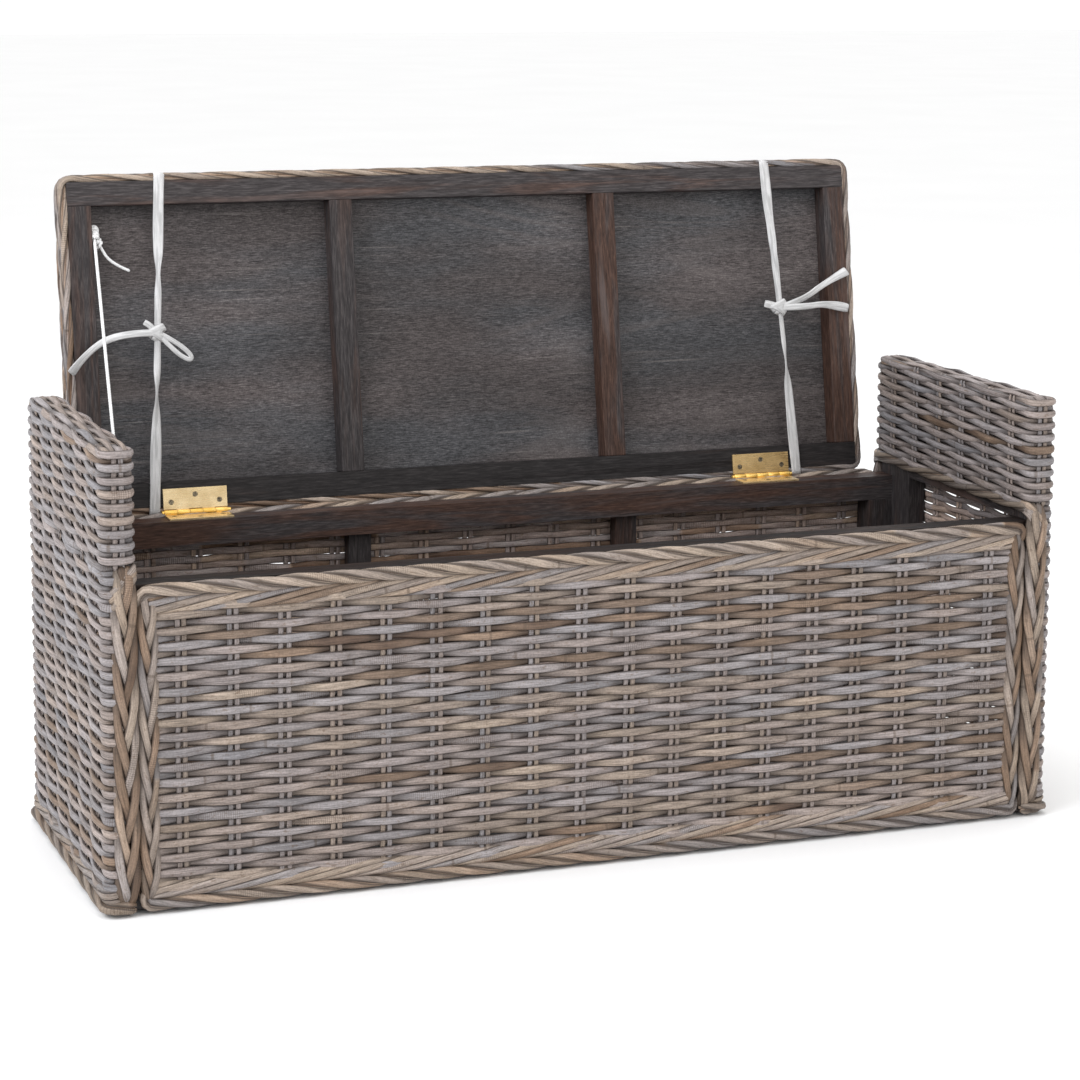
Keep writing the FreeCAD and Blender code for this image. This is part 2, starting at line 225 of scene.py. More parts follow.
def rattan(name, stops):
    """Make split cane, coloured by strand, with fibres and nodes, painted shade on its sides and where it
    passes under others, and backs lightened partly for the paler core and partly as painted light inside
    the box.
    """
    material, tree = new_material(name)
    own = node(tree, "Attribute", attribute_name="tone").outputs["Fac"]
    sunk = node(tree, "Attribute", attribute_name="sunk").outputs["Fac"]
    along, around, seed = strand_place(tree)
    shift = times(tree, seed, 61.0)

    def grain(lengthways, crossways):
        return vector(tree, times(tree, along, lengthways), times(tree, around, crossways), shift)

    drift = vector(tree, times(tree, along, 9.0), shift, 0.0)
    wander = noise(tree, drift, 1.0, 2.0)
    tone = plus(tree, own, times(tree, calc(tree, "SUBTRACT", wander, 0.5), 0.42))
    base = ramp(tree, tone, stops)
    fibre = noise(tree, grain(40.0, 26.0), 1.0, 4.0, 0.65)
    speck = noise(tree, grain(150.0, 8.0), 1.0, 3.0, 0.6)
    grit = noise(tree, grain(520.0, 12.0), 1.0, 2.0, 0.6)
    streak = smooth(tree, fibre, 0.3, 0.7, 0.58, 1.26)
    base = dim(tree, base, times(tree, streak, smooth(tree, grit, 0.36, 0.64, 0.90, 1.09)))
    base = mix(tree, times(tree, smooth(tree, speck, 0.57, 0.70), 0.55), base, SPECK)
    ring = calc(tree, "FRACT", plus(tree, times(tree, along, NODES_PER_METRE), times(tree, seed, 17.0)))
    ring = calc(tree, "ABSOLUTE", calc(tree, "SUBTRACT", ring, 0.5))
    scar = smooth(tree, ring, 0.0012, 0.0034, 1.0, 0.0)
    swell = smooth(tree, ring, 0.0, 0.015, 1.0, 0.0)
    base = mix(tree, times(tree, scar, 0.5), base, SCAR)
    value = calc(tree, "FRACT", times(tree, own, 91.7))
    base = dim(tree, base, smooth(tree, value, 0.0, 1.0, 0.84, 1.16))
    # Each strand's sides are darkened: painted shade in the crevices between strands.
    facing = calc(tree, "SINE", times(tree, around, 2 * PI))
    edge = smooth(tree, calc(tree, "ABSOLUTE", facing), 0.80, 0.10, 0.0, 0.80)
    base = mix(tree, edge, base, STRAND_EDGE_SHADE)
    # Backs are lightened: partly the paler core of the cane, partly painted light on the inside of the box.
    back = smooth(tree, facing, 0.05, -0.45)
    base = mix(tree, back, base, mix(tree, 1.0, base, STRAND_BACK_CORE_AND_LIGHT, "MULTIPLY"))
    # Where a strand passes under others it is darkened by its sunk value: painted shade.
    behind = calc(tree, "ABSOLUTE", calc(tree, "SUBTRACT", sunk, back))
    deep = smooth(tree, behind, 0.30, 1.0, 0.0, 0.62)
    deep = times(tree, deep, smooth(tree, back, 0.0, 1.0, 1.0, 0.45))
    base = mix(tree, deep, base, STRAND_SHADE)
    ribbed = smooth(tree, noise(tree, drift, 0.9, 1.0), 0.60, 0.66)
    ribs = times(tree, calc(tree, "SINE", times(tree, along, 2600.0)), ribbed)
    base = mix(tree, smooth(tree, ribs, -0.2, -1.0, 0.0, 0.45), base, RIB)
    height = plus(tree, times(tree, fibre, 0.5), times(tree, swell, 0.6))
    height = calc(tree, "SUBTRACT", height, times(tree, scar, 0.8))
    height = plus(tree, height, times(tree, ribs, 0.30))
    rough = smooth(tree, fibre, 0.3, 0.7, 0.62, 0.46)
    surface(tree, base, rough, height, 0.7, 0.0010, Specular_IOR_Level=0.3)
    return material


def wood(name, grain, tint=0.0, tilt=0.0, streak=1.0, shade=1.0):
    """Make dark stained wood whose grain runs along one axis."""
    material, tree = new_material(name)
    at = tilted(tree, place_of(tree), tilt)
    scale = [90.0, 90.0, 90.0]
    scale["XYZ".index(grain)] = 8.0
    lines = stretch(tree, at, scale)
    fine = noise(tree, lines, 6.0, 5.0, 0.66, 0.3)
    broad = noise(tree, lines, 0.6, 3.0, 0.55, 0.6)
    patch = noise(tree, at, 5.0, 2.0)
    base = ramp(tree, fine, ((0.28, (0.013, 0.011, 0.011)), (0.50, (0.033, 0.029, 0.029)),
                             (0.66, (0.062, 0.055, 0.054)), (0.80, (0.110, 0.096, 0.092))))
    red = ramp(tree, fine, ((0.3, (0.018, 0.010, 0.007)), (0.55, (0.052, 0.028, 0.020)),
                            (0.8, (0.115, 0.064, 0.045))))
    blush = smooth(tree, plus(tree, broad, times(tree, patch, 0.5)), 0.72 - tint, 1.0 - tint)
    base = mix(tree, blush, base, red)
    pale = smooth(tree, broad, 0.55, 0.75)
    base = mix(tree, times(tree, pale, 0.30 * streak), base, PALE_GRAIN)
    base = mix(tree, 1.0, base, (shade, shade * 0.99, shade * 1.01), "MULTIPLY")
    rough = smooth(tree, fine, 0.3, 0.7, 0.62, 0.42)
    height = plus(tree, times(tree, fine, 0.7), times(tree, broad, 0.4))
    surface(tree, base, rough, height, 0.35, 0.0008, Specular_IOR_Level=0.22)
    return material


def plywood(name, tilt=0.0):
    """Make dark stained plywood: long streaks, and broad arcs of figure."""
    material, tree = new_material(name)
    at = tilted(tree, place_of(tree), tilt)
    fine = noise(tree, stretch(tree, at, (20.0, 190.0, 190.0)), 5.0, 6.0, 0.72, 0.5)
    bend = noise(tree, stretch(tree, at, (1.2, 9.0, 9.0)), 1.0, 2.0, 0.5, 0.5)
    arcs = smooth(tree, calc(tree, "SINE", times(tree, bend, 70.0)), 0.3, 1.0)
    arcs = times(tree, arcs, smooth(tree, noise(tree, at, 3.1, 1.0), 0.46, 0.62))
    pale = smooth(tree, noise(tree, stretch(tree, at, (5.0, 260.0, 260.0)), 1.0, 2.0, 0.6), 0.60, 0.72)
    pale = times(tree, pale, smooth(tree, noise(tree, at, 7.0, 2.0), 0.42, 0.60))
    patch = noise(tree, stretch(tree, at, (2.0, 7.0, 7.0)), 1.6, 3.0)
    grey = ramp(tree, fine, ((0.35, (0.018, 0.018, 0.020)), (0.5, (0.059, 0.059, 0.063)),
                             (0.63, (0.124, 0.122, 0.128)), (0.76, (0.205, 0.200, 0.204))))
    brown = ramp(tree, fine, ((0.35, (0.021, 0.017, 0.017)), (0.5, (0.072, 0.061, 0.060)),
                              (0.63, (0.142, 0.123, 0.120)), (0.76, (0.222, 0.197, 0.190))))
    base = mix(tree, smooth(tree, patch, 0.35, 0.62), grey, brown)
    base = mix(tree, times(tree, arcs, 0.30), base, PALE_GRAIN)
    base = mix(tree, times(tree, pale, 0.45), base, (0.24, 0.215, 0.205))
    blotch = noise(tree, stretch(tree, at, (2.6, 8.0, 8.0)), 1.0, 3.0, 0.6)
    mottle = noise(tree, at, 420.0, 2.0, 0.6)
    base = dim(tree, base, times(tree, smooth(tree, blotch, 0.36, 0.66, 0.74, 1.22),
                                 smooth(tree, mottle, 0.38, 0.62, 0.84, 1.16)))
    rough = smooth(tree, fine, 0.3, 0.7, 0.68, 0.5)
    height = plus(tree, fine, times(tree, arcs, 0.15))
    surface(tree, base, rough, height, 0.3, 0.0006, Specular_IOR_Level=0.25)
    return material


def brass(name, leaf=None):
    """Make brass, bright on the barrel; leaf gives the two duller colours of a flat leaf."""
    material, tree = new_material(name)
    at = place_of(tree)
    scratch = noise(tree, stretch(tree, at, (30, 400, 400)), 2.0, 4.0, 0.6)
    cloud = noise(tree, at, 60.0, 3.0)
    base = ramp(tree, cloud, ((0.3, (0.76, 0.45, 0.08)), (0.7, (0.95, 0.64, 0.20))))
    if leaf:
        away = node(tree, "VectorMath", {0: at, 1: tuple(AXIS)}, operation="SUBTRACT").outputs[0]
        away = node(tree, "VectorMath", {0: away, 1: (0, 1, 1)}, operation="MULTIPLY").outputs[0]
        reach = node(tree, "VectorMath", {0: away}, operation="LENGTH").outputs["Value"]
        barrel = smooth(tree, reach, 0.0037, 0.0043, 1.0, 0.0)
        base = mix(tree, barrel, ramp(tree, cloud, ((0.3, leaf[0]), (0.7, leaf[1]))), base)
    base = mix(tree, smooth(tree, scratch, 0.66, 0.80, 0.0, 0.12), base, (0.40, 0.28, 0.14))
    rough = smooth(tree, scratch, 0.3, 0.7, 0.22, 0.40)
    surface(tree, base, rough, scratch, 0.12, 0.0003, Metallic=0.72 if leaf else 0.9)
    return material


def screw_metal(name):
    """Make plated screws, mottled dark with grime."""
    material, tree = new_material(name)
    grime = noise(tree, place_of(tree), 500.0, 3.0)
    base = ramp(tree, grime, ((0.38, (0.05, 0.04, 0.03)), (0.62, (0.30, 0.25, 0.17))))
    rough = smooth(tree, grime, 0.3, 0.7, 0.5, 0.28)
    surface(tree, base, rough, grime, 0.2, 0.0003, Metallic=0.9)
    return material


def cotton(name, low, high, weave_scale, cloud_scale, creased=False):
    """Make plain woven cotton with its threads as bump and faint unevenness; creased adds folds, as bump
    and as painted shade.
    """
    material, tree = new_material(name)
    at = place_of(tree)
    waves = {"Vector": at, "Scale": weave_scale, "Distortion": 1.5, "Detail": 2.0, "Detail Scale": 3.0}
    warp = node(tree, "TexWave", waves, bands_direction="X").outputs["Fac"]
    weft = node(tree, "TexWave", waves, bands_direction="Z").outputs["Fac"]
    threads = times(tree, warp, weft)
    cloud = noise(tree, at, cloud_scale, 4.0, 0.55)
    slub = noise(tree, stretch(tree, at, (12, 300, 300)), 1.5, 2.0)
    base = ramp(tree, cloud, ((0.3, low), (0.7, high)))
    base = dim(tree, base, smooth(tree, threads, 0.0, 0.7, 0.78, 1.03))
    height = plus(tree, threads, times(tree, slub, 0.4))
    if creased:
        along, around, _ = strand_place(tree)
        folds_at = vector(tree, times(tree, along, 22.0), times(tree, around, 9.0), 0.0)
        folds_and_shade = noise(tree, folds_at, 1.0, 2.0)
        # Folds darken the cloth: painted shade in the creases.
        base = dim(tree, base, smooth(tree, folds_and_shade, 0.40, 0.56, 0.74, 1.0))
        height = plus(tree, height, times(tree, folds_and_shade, 2.0))
    surface(tree, base, 0.9, height, 0.5, 0.0004, Sheen_Weight=0.15)
    return material


def twisted(name):
    """Make white braided cord."""
    material, tree = new_material(name)
    along, around, _ = strand_place(tree)
    lay = calc(tree, "SINE", plus(tree, times(tree, along, 2600.0), times(tree, around, 4 * PI)))
    grime = noise(tree, place_of(tree), 40.0, 3.0)
    base = ramp(tree, grime, ((0.3, (0.86, 0.86, 0.86)), (0.7, (0.94, 0.94, 0.94))))
    # The grooves of the lay are darkened: painted shade.
    base = mix(tree, smooth(tree, lay, -1.0, 0.2, 0.22, 0.0), base, (0.45, 0.44, 0.43))
    surface(tree, base, smooth(tree, lay, -1, 1, 0.85, 0.65), lay, 0.5, 0.0003)
    return material


def plastic(name):
    """Make worn dark plastic."""
    material, tree = new_material(name)
    scuff = noise(tree, place_of(tree), 180.0, 4.0, 0.6)
    base = ramp(tree, scuff, ((0.4, (0.025, 0.024, 0.023)), (0.8, (0.09, 0.085, 0.08))))
    surface(tree, base, smooth(tree, scuff, 0.3, 0.8, 0.4, 0.7), scuff, 0.15, 0.0003)
    return material


def paper(name):
    """Make the plain pale floor."""
    material, tree = new_material(name)
    cloud = noise(tree, place_of(tree), 1.5, 2.0)
    surface(tree, ramp(tree, cloud, ((0.3, (0.92, 0.92, 0.92)), (0.7, (0.94, 0.94, 0.94)))), 0.9)
    return material


looks = {
    "weave": rattan("rattan_weave", WEAVE_TONES),
    "braid": rattan("rattan_braid", BRAID_TONES),
    "wood_x": wood("wood_along_x", "X"),
    # The front top rail is darkened: painted shade on its top, which lies in shade behind the crown rope.
    "wood_x_painted_shade": wood("wood_along_x_dark", "X", 0.14, shade=0.42),
    "wood_x_red": wood("wood_along_x_reddish", "X", 0.14, shade=1.35),
    "wood_y": wood("wood_along_y", "Y"),
    "wood_z": wood("wood_along_z", "Z", 0.05),
    "lid_wood_x": wood("lid_wood_along_x", "X", 0.0, OPEN, shade=1.30),
    "lid_wood_low": wood("lid_wood_along_x_dark", "X", -0.12, OPEN, 0.5, 0.56),
    "lid_wood_y": wood("lid_wood_along_y", "Y", 0.02, OPEN, shade=1.08),
    "lid_wood_y_warm": wood("lid_wood_along_y_warm", "Y", 0.20, OPEN, 1.3, 1.25),
    "ply": plywood("plywood_floor"),
    "lid_ply": plywood("plywood_lid", OPEN),
    "leaf": brass("brass_leaf", ((0.62, 0.46, 0.24), (0.80, 0.63, 0.37))),
    "leaf_warm": brass("brass_leaf_warm", ((0.46, 0.31, 0.13), (0.62, 0.44, 0.21))),
    "pin": brass("brass_pin"),
    "screw": screw_metal("screw_metal"),
    "tape": cotton("cotton_tape", (0.66, 0.655, 0.655), (0.84, 0.835, 0.835), 520.0, 30.0, True),
    "canvas": cotton("cotton_canvas", (0.60, 0.56, 0.49), (0.70, 0.665, 0.59), 260.0, 5.0),
    "cord": twisted("white_cord"),
    "glide": plastic("dark_plastic"),
    "floor": paper("pale_floor"),
}


# Strands

SECTION_SIDES = 8
BRAID_STEP = 0.005
STAKE_GAP = 0.0043
STAKE_END = 0.004
STAKE_HALF_W = 0.0033
STAKE_HALF_T = 0.0013
TUCK_LENGTH = 0.034


def unit(rows):
    """Return each row at length one."""
    return rows / np.linalg.norm(rows, axis=1, keepdims=True)


def lengths_along(points):
    """Return the length of a line up to each of its points."""
    return np.concatenate([[0], np.cumsum(np.linalg.norm(np.diff(points, axis=0), axis=1))])


class Strands:
    """Swept strands gathered into one mesh, each with its own place, tone and depth."""

    def __init__(self):
        self.points, self.places, self.tones, self.sunk = [], [], [], []
        self.faces, self.caps = [], []
        self.count = 0

    def add(self, centres, wide, half_w, half_t, tone=0.4, sides=SECTION_SIDES, closed=False, taper=0.45,
            at=None, out=None, sunk=0.0):
        """Sweep a rounded section along centres, its broad axis near wide and its face towards out.

        sunk runs from 0, where the strand lies proud, to 1, where others cross over it; the rattan material
        paints shade by it.
        """
        centres = np.asarray(centres, float)
        n = len(centres)
        if closed:
            run = np.roll(centres, -1, 0) - np.roll(centres, 1, 0)
        else:
            run = np.gradient(centres, axis=0)
        run = unit(run)
        wide = np.broadcast_to(wide, (n, 3)).astype(float)
        wide = unit(wide - run * (wide * run).sum(1, keepdims=True))
        thick = np.cross(run, wide)
        if out is not None and (thick * out).sum() < 0:
            wide, thick = -wide, -thick
        half_w = np.array(np.broadcast_to(half_w, n), float)
        half_t = np.array(np.broadcast_to(half_t, n), float)
        if not closed:
            half_w[[0, -1]] *= taper
            half_t[[0, -1]] *= taper
        turn = np.arange(sides) / sides
        c, s = np.cos(2 * PI * turn), np.sin(2 * PI * turn)
        rings = (centres[:, None] + wide[:, None] * (half_w[:, None] * c)[..., None]
                 + thick[:, None] * (half_t[:, None] * s)[..., None])
        place = np.empty((n, sides, 3))
        place[..., 0] = (lengths_along(centres) if at is None else at)[:, None]
        place[..., 1] = turn
        place[..., 2] = rng.random()
        self.points.append(rings.reshape(-1, 3))
        self.places.append(place.reshape(-1, 3))
        self.tones.append(np.repeat(np.broadcast_to(tone, n), sides))
        self.sunk.append(np.repeat(np.broadcast_to(sunk, n), sides))
        i = np.arange(n if closed else n - 1)[:, None]
        j = np.arange(sides)[None]
        up, over = (i + 1) % n, (j + 1) % sides
        quad = np.stack([i * sides + j, i * sides + over, up * sides + over, up * sides + j], -1)
        self.faces.append(self.count + quad.reshape(-1, 4))
        if not closed:
            ring = self.count + np.arange(sides)
            self.caps += [ring[::-1], ring + (n - 1) * sides]
        self.count += n * sides

    def mesh(self, title, looks_like, body, slot, replaced=(), shut=False):
        """Make the piece, on its body, standing for CAD nodes."""
        points = np.concatenate(self.points)
        quads = np.concatenate(self.faces)
        sizes = np.concatenate([np.full(len(quads), 4), [len(cap) for cap in self.caps]]).astype(np.int32)
        corners = np.concatenate([quads.ravel(), *self.caps]).astype(np.int32)
        data = bpy.data.meshes.new(title)
        data.vertices.add(len(points))
        data.vertices.foreach_set("co", points.astype(np.float32).ravel())
        data.loops.add(len(corners))
        data.loops.foreach_set("vertex_index", corners)
        data.polygons.add(len(sizes))
        data.polygons.foreach_set("loop_start", (np.cumsum(sizes) - sizes).astype(np.int32))
        data.polygons.foreach_set("use_smooth", np.arange(len(sizes)) < len(quads))
        data.update(calc_edges=True)
        place = data.attributes.new("strand", "FLOAT_VECTOR", "POINT")
        place.data.foreach_set("vector", np.concatenate(self.places).astype(np.float32).ravel())
        for name, values in (("tone", self.tones), ("sunk", self.sunk)):
            layer = data.attributes.new(name, "FLOAT", "POINT")
            layer.data.foreach_set("value", np.concatenate(values).astype(np.float32))
        if shut:
            data.transform(LID)
        return settle(bpy.data.objects.new(title, data), looks_like, body, replaced)


def settle(piece, looks_like, body, replaced=()):
    """Link a piece, give it its material, and put it on its body."""
    bpy.context.scene.collection.objects.link(piece)
    piece.data.materials.clear()
    piece.data.materials.append(looks[looks_like])
    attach(piece, body)
    if replaced:
        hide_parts(*replaced)
    return piece


class Track:
    """A path of straight runs and round corners, read by its length."""

    def __init__(self, corners, across, radius=0.0, closed=False, flip=False):
        corners = [np.array(c, float) for c in corners]
        points = []
        n = len(corners)
        for i, here in enumerate(corners):
            if radius == 0 or (not closed and i in (0, n - 1)):
                points.append(here)
                continue
            back, ahead = unit(np.array([corners[i - 1] - here, corners[(i + 1) % n] - here]))
            half = math.acos(np.clip(back @ ahead, -1, 1)) / 2
            trim = radius / math.tan(half)
            middle = (back + ahead) / np.linalg.norm(back + ahead)
            centre = here + middle * radius / math.sin(half)
            for t in np.linspace(0, 1, 7):
                spoke = here + (back * (1 - t) + ahead * t) * trim - centre
                points.append(centre + spoke / np.linalg.norm(spoke) * radius)
        if closed:
            points.append(points[0])
        self.points = np.array(points)
        self.at = lengths_along(self.points)
        self.length = self.at[-1]
        self.closed = closed
        self.across = np.array(across, float)
        self.sign = -1 if flip else 1

    def nearest(self, x, y, samples):
        """Return the length at which the path passes nearest to a place seen from above."""
        s = np.linspace(0, self.length, samples)
        points, _ = self.place(s)
        return s[np.argmin((points[:, 0] - x) ** 2 + (points[:, 1] - y) ** 2)] % self.length

    def place(self, s):
        """Return the points at lengths s, and the outward normals there."""
        def read(t):
            t = t % self.length if self.closed else np.clip(t, 0, self.length)
            return np.stack([np.interp(t, self.at, self.points[:, k]) for k in range(3)], -1)
        small = 0.001
        run = unit(read(s + small) - read(s - small))
        return read(s), self.sign * np.cross(run, self.across)

    def steps(self, step):
        """Return lengths a step apart, and the points and outward normals there."""
        n = max(2, int(self.length / step))
        s = np.arange(n) * self.length / n if self.closed else np.linspace(0, self.length, n + 1)
        return s, *self.place(s)


def wobble(s, size, wave=0.16):
    """Return a slow seeded wave along s."""
    phase = rng.random(3) * 2 * PI
    total = sum(np.sin(2 * PI * s / (wave * f) + p) for f, p in zip((1.0, 0.43, 2.3), phase))
    return size * total / 2


def tones(count, low, spread, keep=0.62, odd=0.10):
    """Return a tone for each length of cane; several lengths in a row may be one cane."""
    made = []
    value = low + spread * rng.random()
    for _ in range(count):
        if rng.random() > keep:
            value = 0.80 + 0.18 * rng.random() if rng.random() < odd else low + spread * rng.random()
        made.append(value)
    return np.array(made)


def weave(strands, track, rows, stakes, relief, half_w, half_t, step=0.006, slant=0.0,
          low=0.05, spread=0.62, sides=SECTION_SIDES, odd=0.10, first=0, lens=0.16):
    """Weave rows of cane in and out of groups of stakes along a track."""
    if track.closed:
        before, after = stakes[-1] - track.length, stakes[0] + track.length
    else:
        before, after = 2 * stakes[0] - stakes[1], 2 * stakes[-1] - stakes[-2]
    s, centre, out = track.steps(step)
    heading = track.sign * np.cross(track.across, out)[:, 1]
    phase = np.interp(s, [before, *stakes, after], np.arange(-1, len(stakes) + 1))
    for k, row in enumerate(rows, first):
        wave = np.arcsin(0.95 * np.cos(PI * (phase + k))) / math.asin(0.95)
        rise = row + slant * heading * np.sin(PI * (phase + k)) + (0 if track.closed else wobble(s, 0.0006))
        lift = relief * wave + (0 if track.closed else wobble(s, 0.0004, 0.09))
        points = centre + out * lift[:, None] + track.across * rise[:, None]
        lengths = np.floor((phase + k + 1) / 2).astype(int)
        lengths -= lengths.min()
        shade = tones(lengths.max() + 2, low, spread, odd=odd)
        if track.closed:
            shade[lengths.max()] = shade[0]
        broad = half_w * (1 + lens * wave + 0.05 * rng.standard_normal() + 0.04 * np.sin(s * 47 + 9 * k))
        # sunk follows the wave, so the material paints shade where a row dives behind the stakes.
        strands.add(points, track.across, broad, half_t, shade[lengths], sides, track.closed,
                    at=s + 3 * rng.random(), out=out, sunk=0.5 - 0.5 * wave)


def stake_pairs(strands, track, places, rows, relief):
    """Stand a pair of stakes at each place, bent a little by the rows that pass them."""
    height = np.concatenate([[rows[0] - STAKE_END], rows, [rows[-1] + STAKE_END]])
    for j, at in enumerate(places):
        for side in (-STAKE_GAP, STAKE_GAP):
            bend = -0.25 * relief * np.cos(PI * (j + np.arange(len(height)) - 1))
            bend[[0, -1]] = 0
            spot = np.full(len(height), at + side) + 0.0006 * rng.standard_normal()
            centre, out = track.place(spot)
            along = np.cross(out, track.across)
            drift = wobble(height, 0.0005, 0.2)
            points = centre + out * bend[:, None] + track.across * height[:, None] + along * drift[:, None]
            tone = 0.1 + 0.5 * rng.random()
            strands.add(points, along, STAKE_HALF_W, STAKE_HALF_T, tone, out=out, sunk=0.45)


def cane_tones(track, s, pitch, share, low, spread, odd):
    """Return the tone along one cane of a braid; a new length of cane may start at each turn."""
    shade = tones(int(track.length / pitch) + 3, low, spread, 0.75, odd)
    pick = np.floor(s / pitch + share).astype(int)
    if track.closed:
        shade[pick.max()] = shade[0]
    return shade[pick]


def rope(strands, track, deep, high, count, pitch, half_w, half_t, hand=1, offset=0.0,
         low=0.15, spread=0.6, odd=0.14, sunk=0.0):
    """Wind canes round an oval core that follows a track."""
    s, centre, out = track.steps(BRAID_STEP)
    start = rng.random()
    if track.closed:
        pitch = track.length / round(track.length / pitch)
    for i in range(count):
        turn = hand * 2 * PI * s / pitch + 2 * PI * (i / count + start)
        c, d = np.cos(turn)[:, None], np.sin(turn)[:, None]
        points = centre + out * (deep * c + offset) + track.across * (high * d)
        wide = -out * d * deep + track.across * c * high
        shade = cane_tones(track, s, pitch, i / count, low, spread, odd)
        vary = half_w * (1 + 0.07 * rng.standard_normal())
        strands.add(points, wide, vary, half_t, shade, closed=track.closed, at=s + 3 * rng.random(),
                    out=out * c * high + track.across * d * deep, sunk=sunk)


def plait(strands, track, half, lift, bulge, count, pitch, half_w, half_t, low, spread, extra_shade=0.0):
    """Plait flat canes into a convex band that follows a track and narrows where its ends tuck in."""
    s, centre, out = track.steps(BRAID_STEP)
    close = np.clip(np.minimum(s, track.length - s) / TUCK_LENGTH, 0, 1)
    start = rng.random()
    for i in range(count):
        turn = 2 * PI * s / pitch + 2 * PI * (i / count + start)
        side = np.sin(turn)
        rise = lift * np.sin(2 * turn) + bulge * (1 - side ** 2)
        swing = half * (0.55 + 0.45 * close) * side
        points = centre + track.across * swing[:, None] + out * rise[:, None]
        slope = -2 * bulge * side / half
        wide = track.across + out * slope[:, None]
        shade = cane_tones(track, s, pitch, i / count, low, spread, 0.14)
        broad = half_w * (1 + 0.12 * wobble(s, 1.0, 0.11))
        # sunk rises where a cane passes under others and near the tucked ends, and by an added amount:
        # painted shade in the material.
        sunk = 0.52 + extra_shade - 0.42 * np.sin(2 * turn) + 0.25 * np.abs(side) + 0.4 * (1 - close)
        strands.add(points, wide, broad, half_t, shade, at=s + 3 * rng.random(), out=out,
                    sunk=np.clip(sunk, 0, 1))


# Camera, fitted to the long straight edges of the bench

EYE = (-1.268, -3.299, 1.084)
YAW = -20.85
LOOKING_DOWN = 8.51
ROLL = 0.42
LENS = 97.15
SHIFT = (0.0028, -0.15)


def camera():
    """Set the camera where the bench was seen from."""
    data = bpy.data.cameras.new("camera")
    data.lens = LENS
    data.sensor_width = 36.0
    data.shift_x, data.shift_y = SHIFT
    eye = bpy.data.objects.new("camera", data)
    yaw = Matrix.Rotation(math.radians(YAW), 4, "Z")
    pitch = Matrix.Rotation(math.radians(90 - LOOKING_DOWN), 4, "X")
    roll = Matrix.Rotation(math.radians(ROLL), 4, "Z")
    eye.matrix_world = Matrix.Translation(EYE) @ yaw @ pitch @ roll
    bpy.context.scene.collection.objects.link(eye)
    bpy.context.scene.camera = eye


camera()


# Lines of cord and tape


def spline_points(name, points):
    """Return points read from the smooth NURBS line that has these control points."""
    data = bpy.data.curves.new(name, "CURVE")
    data.dimensions = "3D"
    data.resolution_u = 12
    spline = data.splines.new("NURBS")
    spline.points.add(len(points) - 1)
    for slot, point in zip(spline.points, points):
        slot.co = (*point, 1)
    spline.order_u = 3
    spline.use_endpoint_u = True
    curve = bpy.data.objects.new(name, data)
    line = bpy.data.meshes.new_from_object(curve)
    found = np.array([v.co for v in line.vertices])
    bpy.data.objects.remove(curve)
    bpy.data.meshes.remove(line)
    return found


def finer(points, step):
    """Return the same line with points a step apart."""
    at = lengths_along(points)
    s = np.linspace(0, at[-1], max(3, int(at[-1] / step)))
    return np.stack([np.interp(s, at, points[:, k]) for k in range(3)], -1)


# Stay cord and its knots

CORD_LOW = Vector((-0.5555, -0.130, 0.3925))
CORD_HIGH_SHUT = Vector((-0.499, -0.151, 0.392))
CORD_TAIL = ((0, 0, 0), (0.006, 0.016, -0.002), (0.018, 0.038, -0.006), (0.042, 0.048, -0.004))
CORD_WIDTH = 0.003
CORD_LOOK = CORD_WIDTH / 2 * 1.46
TAIL_LOOK = CORD_WIDTH / 2 * 1.36
CORD_PITCH = 0.011
CORD_KNOT = 0.0045


def braided_line(strands, points, radius):
    """Lay three twisted yarns along a line that doesn't turn back on itself."""
    run = unit(np.gradient(points, axis=0))
    whole = points[-1] - points[0]
    side = np.cross(whole, X if abs(whole[0]) < 0.7 * np.linalg.norm(whole) else Z)
    side = unit(side - run * (side * run).sum(1, keepdims=True))
    other = np.cross(run, side)
    s = lengths_along(points)
    yarn = radius * 0.60
    for i in range(3):
        turn = (2 * PI * s / CORD_PITCH + 2 * PI * i / 3)[:, None]
        lie = side * np.cos(turn) + other * np.sin(turn)
        strands.add(points + lie * (radius - yarn), np.cross(run, lie), yarn * 1.15, yarn, 0.5, at=s)


def knot_wraps(strands, centre, along, size, yarn, turns):
    """Tie a small round knot: turns of yarn crossing over each other."""
    along = np.array(along, float) / np.linalg.norm(along)
    side = np.cross(along, X if abs(along[0]) < 0.7 else Z)
    side /= np.linalg.norm(side)
    other = np.cross(along, side)
    angle = np.linspace(0, 2 * PI, 24, endpoint=False)
    for i in range(turns):
        lean = 0.75 * math.sin(2.1 * i + 0.6)
        shift = (i - (turns - 1) / 2) * size * 0.55
        ring = (np.outer(np.cos(angle), side) + np.outer(np.sin(angle), other)) * (size - yarn)
        ring = ring + np.outer(np.cos(angle + i) * lean * size * 0.6 + shift, along)
        strands.add(np.array(centre) + ring, along, yarn, yarn, 0.5, closed=True)


